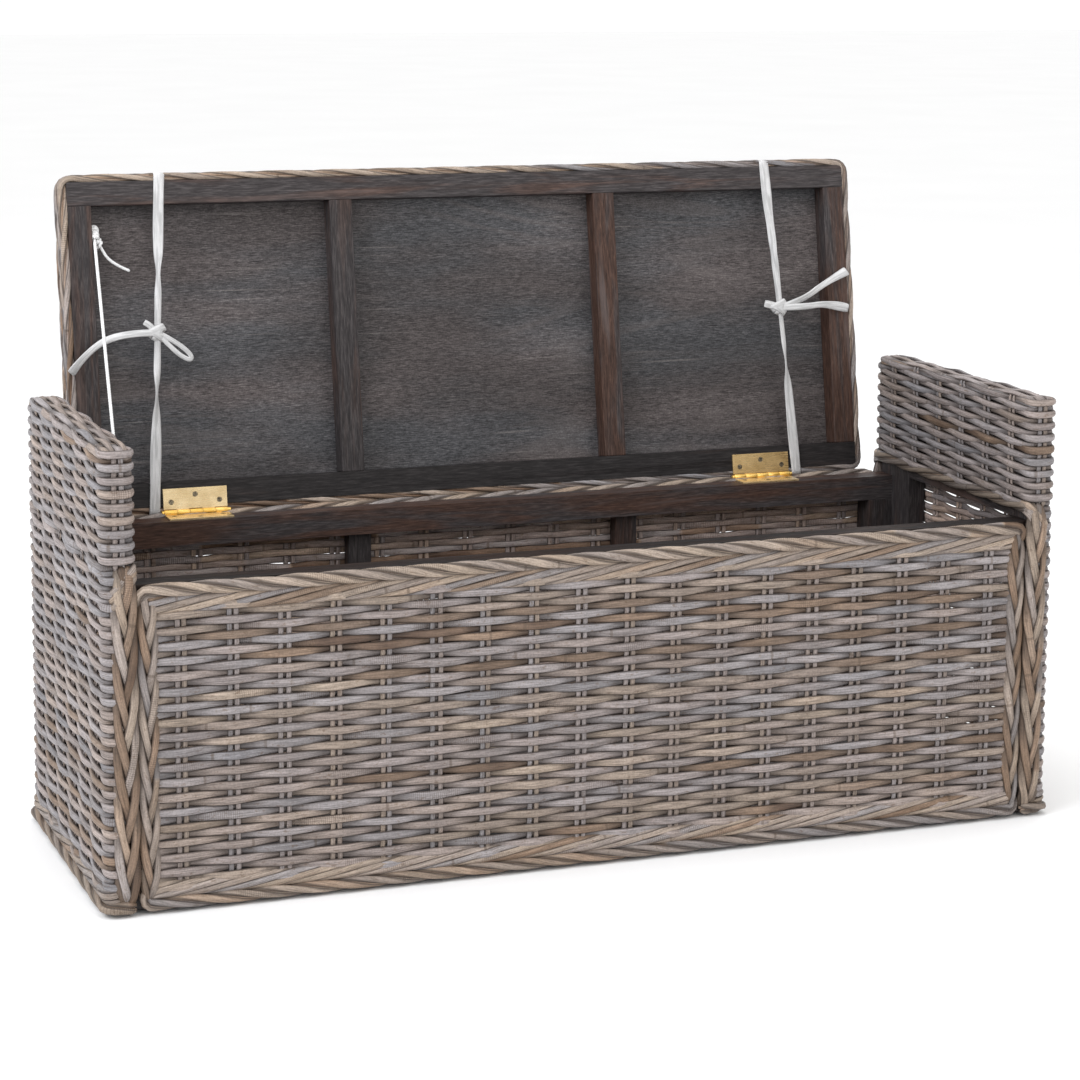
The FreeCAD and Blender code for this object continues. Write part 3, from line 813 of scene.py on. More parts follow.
def stay_cord():
    """Lay the cord from the arm to the lid, with a knot at each end and its loose end."""
    high = LID @ CORD_HIGH_SHUT
    run = (high - CORD_LOW).normalized()
    near = 6 * CORD_WIDTH
    route = [CORD_LOW, CORD_LOW + run * near, high - run * near, high]
    line = finer(spline_points("stay_cord_route", route), 0.002)
    strands = Strands()
    braided_line(strands, line[:-2], CORD_LOOK)
    cord = strands.mesh("stay_cord_line", "cord", "box", "cord", ("stay_cord",))
    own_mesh(cord)
    low = Strands()
    knot_wraps(low, CORD_LOW, run, CORD_KNOT, 0.0015, 4)
    low.mesh("stay_cord_lower_knot", "cord", "box", "cord")
    tail_route = [LID @ (CORD_HIGH_SHUT + Vector(p)) for p in CORD_TAIL]
    tail_line = finer(spline_points("stay_cord_tail_route", tail_route), 0.0015)
    tail = Strands()
    braided_line(tail, tail_line, TAIL_LOOK)
    loose = tail.mesh("stay_cord_tail", "cord", "lid", "cord", ("stay_cord_upper_knot",))
    knots = Strands()
    knot_wraps(knots, high, run, CORD_KNOT * 1.45, 0.0025, 5)
    hitch = tail_line[len(tail_line) // 5]
    knot_wraps(knots, hitch, tail_line[1] - tail_line[0], CORD_KNOT * 1.2, 0.0018, 3)
    knots.mesh("stay_cord_knots", "cord", "lid", "cord")


stay_cord()


# Ties, in the shut lid's coordinates: each tail is given as (dx, dv) from its knot, v towards the front

TIE_FRONT_X = 0.416
TIE_REAR_X = 0.4425
TIE_KNOT_V = 0.225
TIE_CLEAR_Y = -0.158
TIE_UNDER = 0.00055
TIE_BACK_DROP = 0.0024
TIE_KNOT_DROP = 0.0045
TAPE_WIDTH = 0.014
TAIL_WIDTH = 0.0100
TAPE_HALF_T = 0.0007
FOLD_HALF_T = 0.0014
KNOT_HALF_T = 0.0046
KNOT_TURNS = ((0.5, 0.0108, -0.0030), (-0.7, 0.0100, 0.0036), (1.35, 0.0088, 0.0))
TAPE_OVER_EDGE = 0.0012
LEFT_TAILS = (
    ((0, 0), (-0.045, 0.002), (-0.088, -0.016), (-0.112, -0.046)),
)
LEFT_LOOP_END = np.array((0.040, 0.034, 0))
LEFT_NUB = ((-0.004, -0.004, -0.001), (-0.012, -0.011, -0.003), (-0.017, -0.014, -0.003))
RIGHT_TAILS = (
    ((0, 0), (0.034, 0.009), (0.066, 0.030), (0.101, 0.046)),
    ((0, 0), (0.034, -0.001), (0.066, 0.003), (0.099, -0.005)),
)
RIGHT_STUB = ((0, 0, 0), (-0.022, -0.006, 0))


def tape(strands, points, normal, width, twist=0.0, half_t=TAPE_HALF_T):
    """Lay a flat tape along points; twist turns it about its own line."""
    points = np.asarray(points, float)
    n = len(points)
    run = unit(np.gradient(points, axis=0))
    wide = unit(np.cross(np.broadcast_to(normal, (n, 3)), run))
    turn = np.broadcast_to(twist, n)[:, None]
    axis = wide * np.cos(turn) + np.cross(run, wide) * np.sin(turn)
    strands.add(points, axis, width, half_t, 0.5, 10, taper=0.9)


def tie_span(strands, sign, knot):
    """Lay one pair of tapes from over both edges of the lid to their knot."""
    low, high = shut_box("lid_border")
    pad_low, pad_high = shut_box("seat_cushion")
    under, top = low.z - TIE_UNDER, high.z + TAPE_OVER_EDGE
    under_back = low.z - TIE_BACK_DROP
    front, back = low.y - TAPE_OVER_EDGE, high.y + TAPE_OVER_EDGE
    xf, xr = sign * TIE_FRONT_X, sign * TIE_REAR_X
    share = (TIE_CLEAR_Y - front) / (knot[1] - front)
    end = (knot[0], knot[1], under - 0.0042)
    route_front = [(xf, pad_low.y + 0.006, top), (xf, front, top), (xf, front, under),
                   (xf + (knot[0] - xf) * share, TIE_CLEAR_Y, under), end]
    route_back = [(xr, pad_high.y - 0.006, top), (xr, back, top), (xr, back, under_back), end]
    for route in (route_front, route_back):
        track = Track(route, X, 0.003)
        s = np.linspace(0, track.length, int(track.length / 0.004))
        points, out = track.place(s)
        left = track.length - s
        gather = np.clip((left - 0.01) / 0.16, 0, 1)
        gather = gather * gather * (3 - 2 * gather)
        half_w = TAPE_WIDTH / 2 * (0.58 + 0.42 * gather) * (1 + 0.05 * np.sin(s * 60 + sign))
        half_t = TAPE_HALF_T * (0.65 + 1.9 * (1 - gather))
        turn = np.exp(-((left - 0.075) / 0.022) ** 2)
        lean = turn + 0.35 * np.sin(s * 21 + 2 * sign) * (1 - gather)
        bow = 0.0012 * np.sin(PI * np.clip((s - 0.135) / (track.length - 0.135), 0, 1))
        tape(strands, points - Z * bow[:, None], out, half_w, lean, half_t)


def tie_knot(strands, knot):
    """Wrap the knot of a tie: three crossing turns of tape."""
    angle = np.linspace(0, 2 * PI, 28, endpoint=False)
    for tilt, size, shift in KNOT_TURNS:
        along = np.array([math.sin(tilt), math.cos(tilt), 0])
        side = np.array([math.cos(tilt), -math.sin(tilt), 0])
        ring = np.outer(np.cos(angle) * size, side) + np.outer(np.sin(angle) * KNOT_HALF_T, Z)
        ring = ring + along * shift + np.outer(0.0018 * np.sin(angle + tilt), along)
        strands.add(knot + ring, along, 0.0050, 0.0015, 0.5, 10, closed=True)


def left_bow(strands, knot):
    """Add the left knot's short nub and its closed loop."""
    tape(strands, finer(knot + LEFT_NUB, 0.002), -Z, 0.0038, half_t=FOLD_HALF_T)
    reach = np.linalg.norm(LEFT_LOOP_END)
    ahead = LEFT_LOOP_END / reach
    angle = np.linspace(0, 2 * PI, 40, endpoint=False)
    far = 0.5 - 0.5 * np.cos(angle)
    aside = 0.0066 * (0.30 + 0.70 * far) * np.sin(angle)
    ring = (np.outer(far * reach, ahead) + np.outer(aside, np.cross(Z, ahead))
            - np.outer(0.002 + 0.003 * np.sin(angle / 2), Z))
    wide = np.cross(Z, np.roll(ring, -1, 0) - np.roll(ring, 1, 0))
    strands.add(knot + ring, wide, 0.0030, 0.0013, 0.5, 10, closed=True)


def right_stub(strands, knot):
    """Add the right knot's short end."""
    tape(strands, finer(knot + RIGHT_STUB, 0.003), -Z, 0.0052, half_t=FOLD_HALF_T)


def tie_tail(name, knot, steps, i):
    drops = [0.004, *[0.004 + 0.003 * i] * (len(steps) - 1)]
    route = [LID @ (Vector(knot) + Vector((dx, -dv, -drop))) for (dx, dv), drop in zip(steps, drops)]
    line = finer(spline_points(name + "_tail_route", route), 0.003)
    t = np.linspace(0, 1, len(line))
    out = np.array(LID.to_3x3() @ Vector((0, 0, -1)))
    twist = (0.5 - 0.8 * i) * np.sin(5.0 * t + i) * np.clip(t * 3, 0, 1)
    half_w = TAIL_WIDTH / 2 * (0.90 + 0.24 * t ** 3 + 0.22 * np.sin(9.0 * t - 1.2 + 1.5 * i) * t)
    tail = Strands()
    tape(tail, line, out, half_w, twist, FOLD_HALF_T)
    made = tail.mesh(f"{name}_tie_tail_{i + 1}", "tape", "lid", "tape")


def tie(name, sign, finish_knot, tails):
    """Tie one pair of tapes under the lid, with what stands out of their knot."""
    low, high = shut_box("lid_border")
    y = AXIS.y - TIE_KNOT_V
    share = (y - low.y) / (high.y - low.y)
    x = sign * (TIE_FRONT_X + (TIE_REAR_X - TIE_FRONT_X) * share)
    knot = np.array((x, y, low.z - TIE_KNOT_DROP))
    strands = Strands()
    tie_span(strands, sign, knot)
    tie_knot(strands, knot)
    finish_knot(strands, knot)
    strands.mesh(name + "_tie_tape", "tape", "lid", "tape", (name + "_tie",), shut=True)
    for i, steps in enumerate(tails):
        tie_tail(name, knot, steps, i)


tie("left", -1, left_bow, LEFT_TAILS)
tie("right", 1, right_stub, RIGHT_TAILS)


# Braids: how far their canes swing, how many there are, their pitch and half sizes

CROWN = {"deep": 0.0041, "high": 0.0041, "count": 3, "pitch": 0.150, "half_w": 0.0052, "half_t": 0.0044}
CROWN_BAND = {"deep": 0.0030, "high": 0.0078, "count": 6, "pitch": 0.250, "half_w": 0.0043,
              "half_t": 0.0029}
FOOT = {"deep": 0.0037, "high": 0.0037, "count": 3, "pitch": 0.150, "half_w": 0.0043, "half_t": 0.0040}
FOOT_BAND = {"deep": 0.0030, "high": 0.0072, "count": 6, "pitch": 0.250, "half_w": 0.0040,
             "half_t": 0.0027}
# The sunk values below, and the plaits' added amount, darken whole braids: painted shade.
SKIRT = {"deep": 0.0039, "high": 0.0039, "count": 3, "pitch": 0.170, "half_w": 0.0044, "half_t": 0.0042,
         "offset": 0.0012, "sunk": 0.62}
HEM = {"deep": 0.0028, "high": 0.0066, "count": 5, "pitch": 0.230, "half_w": 0.0040, "half_t": 0.0027,
       "sunk": 0.55}
LEDGE = {"deep": 0.0034, "high": 0.0038, "count": 3, "pitch": 0.190, "half_w": 0.0040, "half_t": 0.0036,
         "low": 0.35, "spread": 0.55, "sunk": 0.85}
RIM = {"deep": 0.0027, "high": 0.0026, "count": 2, "pitch": 0.145, "half_w": 0.0040, "half_t": 0.0029,
       "low": 0.0, "spread": 0.62, "odd": 0.25}
PANEL_PLAIT = {"half": 0.0088, "lift": 0.0026, "bulge": 0.0028, "count": 5, "pitch": 0.250,
               "half_w": 0.0048, "half_t": 0.0030, "low": 0.1, "spread": 0.85, "extra_shade": 0.16}
ARM_PLAIT = {"half": 0.0104, "lift": 0.0026, "bulge": 0.0020, "count": 5, "pitch": 0.260,
             "half_w": 0.0053, "half_t": 0.0030, "low": 0.1, "spread": 0.85}


# Woven box

PANEL_PITCH = 0.0087
PANEL_RELIEF = 0.0031
STAKE_PITCH = 0.060
BRAID_BEND = 0.0075
PLAIT_BEND = 0.020
# The front crown stays under the shut lid, and dips where the tapes cross it.
FRONT_CROWN_RISE = 0.0002
REAR_CROWN_RISE = 0.0045
DIP = 0.0012
DIP_STEPS = ((-0.030, 0), (-0.013, DIP), (0.013, DIP), (0.030, 0))


def panel_weave(name, y, out):
    """Weave one long side of the box."""
    low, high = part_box(name + "_weave")
    x = high.x + 0.010
    rows = np.arange(low.z - 0.006, high.z + 0.004, PANEL_PITCH)
    track = Track([(-x, y, 0), (x, y, 0)], Z, flip=out > 0)
    places = x + np.arange(-17, 18, 2) * STAKE_PITCH / 2
    strands = Strands()
    weave(strands, track, rows, places, PANEL_RELIEF, 0.0047 if out < 0 else 0.0052, 0.0027, 0.0065)
    stake_pairs(strands, track, places, rows, 0.0030)
    strands.mesh(name + "_cane", "weave", "box", "rattan_weave", (name + "_weave",))


def panel_braids(name, y, out):
    """Braid the border of one long side: crown, foot, the bands inside them, and both ends."""
    low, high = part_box(name + "_border")
    top = high.z + (FRONT_CROWN_RISE if out < 0 else REAR_CROWN_RISE)
    face = y + out * 0.0012
    edge = high.x - 0.0052
    inward = face - out * 0.006
    dips = [(sign * TIE_FRONT_X + step, face, top - 0.0076 - drop)
            for sign in (-1, 1) for step, drop in DIP_STEPS] if out < 0 else []
    border = Strands()

    def band(level):
        reach = high.x - 0.010
        return Track([(-reach, y, level), (reach, y, level)], Z, flip=out > 0)

    crown = [(-edge, inward, top - 0.026), (-edge, face, top - 0.0076), *dips,
             (edge, face, top - 0.0076), (edge, inward, top - 0.026)]
    foot = [(-edge, inward, low.z + 0.024), (-edge, face, low.z + 0.0072),
            (edge, face, low.z + 0.0072), (edge, inward, low.z + 0.024)]
    rope(border, Track(crown, Y, BRAID_BEND), **CROWN, hand=out)
    rope(border, band(top - 0.0240), **CROWN_BAND)
    rope(border, Track(foot, Y, BRAID_BEND), **FOOT, hand=out)
    rope(border, band(low.z + 0.0230), **FOOT_BAND)
    for sign in (-1, 1):
        x = sign * (high.x - 0.0118)
        up = Track([(x, y - out * 0.007, low.z + 0.006), (x, y, low.z + 0.024), (x, y, top - 0.024),
                    (x, y - out * 0.007, top - 0.006)], X, PLAIT_BEND, flip=out < 0)
        plait(border, up, **PANEL_PLAIT)
    border.mesh(name + "_braids", "braid", "box", "rattan_braid", (name + "_border",))


for name, y, out in (("front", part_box("front_weave")[0].y + 0.0035, -1),
                     ("rear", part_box("rear_weave")[1].y - 0.0035, 1)):
    panel_weave(name, y, out)
    panel_braids(name, y, out)


# Arms

ARM_PITCH = 0.0076
ARM_SLANT = 0.0012
ARM_RELIEF = 0.0031
ARM_BEND = 0.0075
ARM_CANE = {"low": 0.0, "odd": 0.06}
ARM_SPREAD = 0.48
SKIN_INSET = 0.003
STAKE_MARGIN = 0.045


def arm(name, sign):
    """Weave one arm: loops round it above the seat, rows over its outer side below."""
    outer_low, outer_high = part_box(name + "_outer_weave")
    inner_low, inner_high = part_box(name + "_inner_weave")
    edge_low, edge_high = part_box(name + "_edge_weave")
    xo = sign * (max(abs(outer_low.x), abs(outer_high.x)) - SKIN_INSET)
    xi = sign * (min(abs(inner_low.x), abs(inner_high.x)) + SKIN_INSET)
    yf, yb = edge_low.y + SKIN_INSET, edge_high.y - SKIN_INSET
    top, seat, base = edge_high.z, inner_low.z, outer_low.z
    stakes = np.linspace(yf + STAKE_MARGIN, yb - STAKE_MARGIN, 6)
    strands = Strands()

    loop = Track([(xi, yb, 0), (xo, yb, 0), (xo, yf, 0), (xi, yf, 0)], Z, ARM_BEND, True, flip=sign > 0)
    middle = (xo + xi) / 2
    spots = [(middle, yb), (middle, yf)] + [(x, y) for x in (xo, xi) for y in stakes]
    places = np.sort([loop.nearest(x, y, 4000) for x, y in spots])
    rows = np.linspace(seat + 0.012, top - 0.0088, 1 + round((top - seat - 0.0208) / ARM_PITCH))
    weave(strands, loop, rows, places, ARM_RELIEF, 0.0043, 0.0026, 0.0050, ARM_SLANT,
          spread=ARM_SPREAD, **ARM_CANE)
    stake_pairs(strands, loop, places, rows, ARM_RELIEF)

    end = xi + sign * 0.012
    below = Track([(end, yb, 0), (xo, yb, 0), (xo, yf, 0), (end, yf, 0)], Z, ARM_BEND, flip=sign > 0)
    places = np.sort([below.nearest(xo, y, 3000) for y in stakes])
    low_rows = np.arange(seat + 0.012 - ARM_PITCH, base + 0.023, -ARM_PITCH)[::-1]
    weave(strands, below, low_rows, places, ARM_RELIEF, 0.0046, 0.0026, 0.0058, ARM_SLANT,
          spread=ARM_SPREAD, first=len(low_rows) % 2, **ARM_CANE)
    stake_pairs(strands, below, places, low_rows, ARM_RELIEF)

    arch = Track([(xo, 0, rows[-1]), (xo, 0, top - 0.0045), (xi, 0, top - 0.0045), (xi, 0, rows[-1])],
                 Y, 0.0085, flip=sign > 0)
    arm_top(strands, arch, yf, yb, stakes, len(rows))
    strands.mesh(name + "_arm_cane", "weave", "box", "rattan_weave",
                 (name + "_outer_weave", name + "_inner_weave", name + "_edge_weave"))
    arm_braids(name, sign, xo, xi, yf, yb, base, seat)


def arm_top(strands, arch, yf, yb, stakes, first):
    """Weave rows along the rounded top of an arm, with ends tucked in front and behind."""
    count = round(arch.length / ARM_PITCH)
    points, outs = arch.place(np.arange(1, count) * arch.length / count)
    for i, (spot, away) in enumerate(zip(points, outs), first):
        ends = [spot + Y * (yf + 0.003) - away * 0.012, spot + Y * (yf + 0.0022),
                spot + Y * (yb - 0.0022), spot + Y * (yb - 0.003) - away * 0.012]
        over = Track(ends, np.cross(Y, away), 0.006, flip=True)
        weave(strands, over, [0.0], over.length / 2 + stakes, 0.0021, 0.0042, 0.0022, 0.0055,
              spread=0.55, first=i, lens=0.13, **ARM_CANE)
    for y in stakes:
        for shift in (-0.005, 0.005):
            points, away = arch.place(np.linspace(0, arch.length, 24))
            points = points - away * 0.0012 + Y * (y + shift)
            strands.add(points, Y, 0.0030, 0.0013, 0.1 + 0.5 * rng.random(), out=away)


def arm_braids(name, sign, xo, xi, yf, yb, base, seat):
    """Braid an arm's lower edges, its ledge, and its front and back below the seat."""
    braids = Strands()
    px = xi + sign * 0.0115
    level = seat + 0.0068

    def round_foot(inner, height):
        return Track([(inner, yb, height), (xo, yb, height), (xo, yf, height), (inner, yf, height)],
                     Z, 0.0080, flip=sign > 0)

    for y, out in ((yf, -1), (yb, 1)):
        face = y + out * 0.0034
        up = Track([(px, face - out * 0.010, base + 0.005), (px, face, base + 0.024),
                    (px, face, seat - 0.004), (px, face - out * 0.006, seat + 0.012)],
                   X, PLAIT_BEND, flip=out < 0)
        # The right arm's plaits are darkened further: painted shade.
        plait(braids, up, **ARM_PLAIT, extra_shade=0.12 if sign > 0 else 0.0)
    rope(braids, round_foot(xi + sign * 0.002, base + 0.0070), **SKIRT, hand=sign)
    rope(braids, round_foot(xi + sign * 0.020, base + 0.0205), **HEM, hand=-sign)
    ledge = Track([(px, yb + 0.002, level - 0.040), (xi + sign * 0.002, yb + 0.001, level),
                   (xi, yb - 0.010, level), (xi, yf + 0.010, level), (xi + sign * 0.002, yf - 0.001, level),
                   (px, yf - 0.002, level - 0.040)], Z, 0.006, flip=sign < 0)
    rope(braids, ledge, **LEDGE, hand=sign)
    for y, out in ((yf, -1), (yb, 1)):
        arm_cuff(braids, sign, xi, y, out, level)
    braids.mesh(name + "_arm_braids", "braid", "box", "rattan_braid")


def arm_cuff(braids, sign, xi, y, out, level):
    """Cross three short canes over the corner where the ledge meets the plait."""
    hub = (xi + sign * 0.013, y - out * 0.02, 0)
    for k in range(3):
        drop = 0.0085 * k
        cuff = Track([(xi - sign * 0.0005, y - out * 0.016, level + 0.004 - 0.3 * drop),
                      (xi - sign * 0.0005, y + out * 0.0035, level + 0.004 - 0.6 * drop),
                      (xi + sign * 0.022, y + out * 0.0062, level - 0.020 - drop),
                      (xi + sign * 0.026, y - out * 0.002, level - 0.026 - drop)], Z, 0.004)
        _, centre, _ = cuff.steps(0.003)
        away = unit((centre - hub) * (1, 1, 0))
        braids.add(centre, np.cross(away, np.gradient(centre, axis=0)), 0.0046, 0.0030,
                   0.2 + 0.5 * rng.random(), out=away, sunk=0.25 * k)


arm("left", -1)
arm("right", 1)


# Lid

LID_PITCH = 0.0088
LID_RELIEF = 0.0024
RIM_INSET = 0.0040
RIM_PAIRS = 5


def lid_cane():
    """Weave the top of the lid."""
    low, high = shut_box("lid_weave")
    z = (low.z + high.z) / 2 - 0.0005
    rows = np.arange(low.y + 0.003, high.y - 0.002, LID_PITCH)
    track = Track([(low.x - 0.002, 0, z), (high.x + 0.002, 0, z)], Y)
    places = track.length / 2 + np.arange(-17, 18, 2) * STAKE_PITCH / 2
    strands = Strands()
    weave(strands, track, rows, places, LID_RELIEF, 0.0040, 0.0019, 0.009, sides=6)
    stake_pairs(strands, track, places, rows, LID_RELIEF)
    strands.mesh("lid_cane", "weave", "lid", "rattan_weave", ("lid_weave",), shut=True)


def lid_rim():
    """Wind five pairs of canes round the lid's edge, each against the next."""
    low, high = shut_box("lid_border")
    x0, x1 = low.x + RIM_INSET, high.x - RIM_INSET
    y0, y1 = low.y + RIM_INSET, high.y - RIM_INSET
    rim = Strands()
    for i, level in enumerate(np.linspace(low.z + 0.0040, high.z - 0.0042, RIM_PAIRS)):
        ring = Track([(x0, y0, level), (x1, y0, level), (x1, y1, level), (x0, y1, level)], Z, 0.012, True)
        rope(rim, ring, **RIM, hand=1 if i % 2 else -1, sunk=0.35 + 0.1 * (i % 2))
    rim.mesh("lid_rim", "braid", "lid", "rattan_braid", ("lid_border",), shut=True)


lid_cane()
lid_rim()


# Cushion

COVER_INSET = 0.003
COVER_CELLS = (44, 18)
COVER_ROUND = 0.010
SEAM_BAND = 0.0105
VOXEL = 0.0062
MOST_SWELL = 0.012
CROWN_HEIGHT = 0.011
PIPING_HALF = 0.0028


def pull_in(points, half):
    """Draw a rectangle's sides in between its corners."""
    points = np.array(points, float)
    u, v = points[:, 0] / half[0], points[:, 1] / half[1]
    points[:, 0] -= np.sign(u) * 0.0045 * np.abs(u) ** 3 * np.clip(1 - v * v, 0, 1)
    points[:, 1] -= np.sign(v) * 0.0050 * np.abs(v) ** 3 * np.clip(1 - u ** 4, 0, 1)
    return points


def cushion_block(half):
    """Return the cover's start: a flat block of cells, its sides pulled in."""
    nx, ny = COVER_CELLS
    across = half[0] * (2 * np.arange(nx + 1) / nx - 1)
    deep = half[1] * (2 * np.arange(ny + 1) / ny - 1)
    points = [(x, y, z) for z in (-half[2], half[2]) for y in deep for x in across]

    def at(layer, i, j):
        return (layer * (ny + 1) + j) * (nx + 1) + i

    faces = []
    for j in range(ny):
        for i in range(nx):
            faces.append((at(0, i, j), at(0, i, j + 1), at(0, i + 1, j + 1), at(0, i + 1, j)))
            faces.append((at(1, i, j), at(1, i + 1, j), at(1, i + 1, j + 1), at(1, i, j + 1)))
    for i in range(nx):
        faces.append((at(0, i, 0), at(0, i + 1, 0), at(1, i + 1, 0), at(1, i, 0)))
        faces.append((at(0, i + 1, ny), at(0, i, ny), at(1, i, ny), at(1, i + 1, ny)))
    for j in range(ny):
        faces.append((at(0, 0, j + 1), at(0, 0, j), at(1, 0, j), at(1, 0, j + 1)))
        faces.append((at(0, nx, j), at(0, nx, j + 1), at(1, nx, j + 1), at(1, nx, j)))
    data = bpy.data.meshes.new("cushion_start")
    data.from_pydata([tuple(p) for p in pull_in(points, half)], [], faces)
    return data


def cushion():
    """Make the seat cushion: cotton, swollen as cloth and crowned."""
    low, high = shut_box("seat_cushion")
    middle = (low + high) / 2
    size = high - low
    half = (size.x / 2 - COVER_INSET, size.y / 2 - COVER_INSET, size.z / 2 - COVER_INSET)
    pad = bpy.data.objects.new("seat_pad", cushion_block(half))
    bpy.context.scene.collection.objects.link(pad)
    bpy.context.view_layer.objects.active = pad
    pad.select_set(True)
    bevel = pad.modifiers.new("round", "BEVEL")
    bevel.width = COVER_ROUND
    bevel.segments = 3
    bevel.limit_method = "ANGLE"
    remesh = pad.modifiers.new("remesh", "REMESH")
    remesh.mode = "VOXEL"
    remesh.voxel_size = VOXEL
    for name in ("round", "remesh"):
        bpy.ops.object.modifier_apply(modifier=name)
    rest = np.array([v.co for v in pad.data.vertices])
    inside = np.minimum(half[0] - np.abs(rest[:, 0]), half[1] - np.abs(rest[:, 1]))
    seam = pad.vertex_groups.new(name="seam")
    seam.add([int(i) for i in np.nonzero(inside < SEAM_BAND)[0]], 1.0, "REPLACE")
    swell(pad)
    now = crowned(np.array([v.co for v in pad.data.vertices]), rest, half, size)
    pad.data.vertices.foreach_set("co", now.astype(np.float32).ravel())
    pad.data.update()
    divide = pad.modifiers.new("divide", "SUBSURF")
    divide.levels = divide.render_levels = 1
    bpy.ops.object.modifier_apply(modifier="divide")
    for face in pad.data.polygons:
        face.use_smooth = True
    pad.select_set(False)
    pad.data.transform(Matrix.Translation(middle))
    pad.data.transform(LID)
    bpy.context.scene.collection.objects.unlink(pad)
    settle(pad, "canvas", "lid", ("seat_cushion",))
    return middle, half


def swell(pad):
    """Let the cushion's cover swell and settle as cloth, held along its seams."""
    cloth = pad.modifiers.new("cloth", "CLOTH")
    settings = cloth.settings
    settings.quality = 5
    settings.mass = 0.4
    settings.tension_stiffness = 18
    settings.compression_stiffness = 18
    settings.shear_stiffness = 8
    settings.bending_stiffness = 1.2
    settings.use_pressure = True
    settings.uniform_pressure_force = 4
    settings.effector_weights.gravity = 0
    settings.vertex_group_mass = "seam"
    scene = bpy.context.scene
    for f in range(1, 21):
        scene.frame_set(f)
    bpy.ops.object.modifier_apply(modifier="cloth")
    scene.frame_set(1)


def crowned(now, rest, half, size):
    """Return the swollen cover limited, crowned on top, and flat where it lies on the lid."""
    move = now - rest
    reach = np.linalg.norm(move, axis=1, keepdims=True)
    now = rest + move * np.minimum(1, MOST_SWELL / np.maximum(reach, 1e-9))
    u, v = now[:, 0] / half[0], now[:, 1] / half[1]
    crown = np.clip(1 - np.abs(u) ** 3, 0, 1) * np.clip(1 - np.abs(v) ** 2.4, 0, 1)
    ripple = 0.0015 * np.sin(now[:, 0] * 23 + 2 * np.sin(now[:, 1] * 19))
    now[:, 2] += np.where(now[:, 2] > 0, (CROWN_HEIGHT + ripple) * crown, 0)
    now[:, 2] = np.maximum(now[:, 2], -half[2] - COVER_INSET / 2)
    now[:, 0] = np.clip(now[:, 0], -size.x / 2 - 0.006, size.x / 2 + 0.006)
    now[:, 1] = np.clip(now[:, 1], -size.y / 2 - 0.005, size.y / 2 + 0.005)
    return now


def piping(middle, half):
    """Sew piping round the cushion's upper and lower edges."""
    strands = Strands()
    x, y = half[0] + 0.0015, half[1] + 0.0015
    about = np.array([middle.x, middle.y, 0])
    for level in (-0.55, 0.62):
        z = middle.z + level * half[2]
        ring = Track([about + (-x, -y, z), about + (x, -y, z), about + (x, y, z), about + (-x, y, z)],
                     Z, 0.016, True)
        _, centre, _ = ring.steps(0.006)
        centre = pull_in(centre - about, half) + about
        strands.add(centre, Z, PIPING_HALF, PIPING_HALF, 0.5, closed=True)
    strands.mesh("cushion_piping", "canvas", "lid", "cushion_cotton", shut=True)


piping(*cushion())


# Wood, metal and glides keep their CAD shapes

WOOD_EDGE = 0.0012


def soften(piece, width):
    """Take the sharpness off a CAD node's edges."""
    weld = piece.modifiers.new("weld", "WELD")
    weld.merge_threshold = 1e-5
    bevel = piece.modifiers.new("bevel", "BEVEL")
    bevel.width = width
    bevel.segments = 2
    bevel.limit_method = "ANGLE"
    bevel.angle_limit = math.radians(40)


def pairs(*names):
    """Return the left and right node of each name."""
    return [f"{side}_{name}" for name in names for side in ("left", "right")]


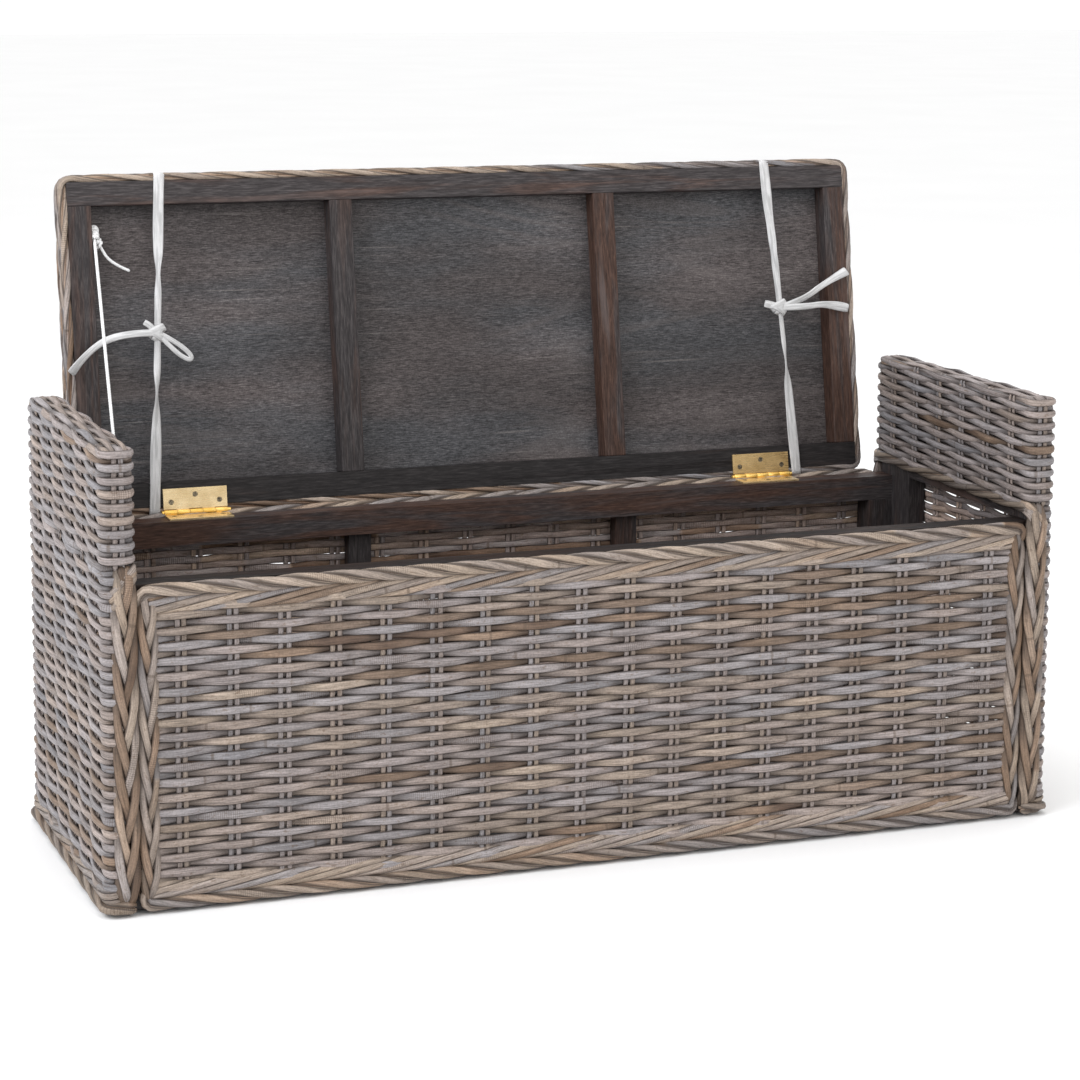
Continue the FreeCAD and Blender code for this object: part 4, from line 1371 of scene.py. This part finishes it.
def finish_nodes():
    """Give every CAD node that still shows its material and softened edges."""
    groups = (
        ("wood_x", "dark_wood", WOOD_EDGE, ("front_bottom_rail", "rear_bottom_rail")),
        ("wood_x_painted_shade", "dark_wood", WOOD_EDGE, ("front_top_rail",)),
        ("wood_x_red", "dark_wood", WOOD_EDGE, ("rear_top_rail",)),
        ("wood_y", "dark_wood", WOOD_EDGE, ["floor_bearer", *pairs("bottom_rail", "mid_rail", "arm_rail")]),
        ("wood_z", "dark_wood", WOOD_EDGE,
         pairs("front_post", "rear_post", "corner_post", "front_stud", "rear_stud")),
        ("lid_wood_x", "dark_wood", WOOD_EDGE, ("lid_front_rail",)),
        ("lid_wood_low", "dark_wood", WOOD_EDGE, ("lid_rear_rail",)),
        ("lid_wood_y", "dark_wood", WOOD_EDGE, ("lid_left_stile", "lid_left_cross_rail")),
        ("lid_wood_y_warm", "dark_wood", WOOD_EDGE, ("lid_right_stile", "lid_right_cross_rail")),
        ("ply", "plywood", 0.0006, ("floor_panel",)),
        ("lid_ply", "plywood", 0.0004, ("lid_panel",)),
        ("leaf", "brass", 0.0002, ("left_hinge_moving_leaf", *pairs("hinge_fixed_leaf"))),
        ("leaf_warm", "brass", 0.0002, ("right_hinge_moving_leaf",)),
        ("pin", "brass", 0.0006, pairs("hinge_pin")),
        ("screw", "brass", 0, ("box_hinge_screws", "lid_hinge_screws")),
        ("glide", "glide_plastic", 0.001, ("floor_glides",)),
    )
    for look, slot, width, names in groups:
        for name in names:
            piece = frame["nodes"][name]
            piece.data.materials.clear()
            piece.data.materials.append(looks[look])
            if width:
                soften(piece, width)


finish_nodes()


# Floor and light

LAMPS = (
    ("key", (-3.2, -1.2, 2.8), 2.2, 95, (0.92, 0.95, 1.0)),
    ("front", (0.8, -4.0, 2.6), 2.6, 22, (1.0, 0.96, 0.92)),
    ("top", (0.2, 0.4, 3.6), 2.4, 30, (1.0, 1.0, 1.0)),
)
SKY_STRENGTH = 1.05


def stage():
    """Lay the pale floor and set soft studio light."""
    bpy.ops.mesh.primitive_plane_add(size=60)
    floor = bpy.context.object
    floor.name = "floor"
    floor.data.materials.append(looks["floor"])
    scene = bpy.context.scene
    scene.world = bpy.data.worlds.new("studio")
    scene.world.use_nodes = True
    sky = scene.world.node_tree.nodes["Background"].inputs
    sky["Color"].default_value = (1, 1, 1, 1)
    sky["Strength"].default_value = SKY_STRENGTH
    for name, place, size, power, colour in LAMPS:
        data = bpy.data.lights.new(name, "AREA")
        data.size = size
        data.energy = power
        data.color = colour
        lamp = bpy.data.objects.new(name, data)
        lamp.location = place
        aim = Vector((0, 0, 0.35)) - Vector(place)
        lamp.rotation_euler = aim.to_track_quat("-Z", "Y").to_euler()
        scene.collection.objects.link(lamp)
    scene.view_settings.view_transform = "Standard"


stage()
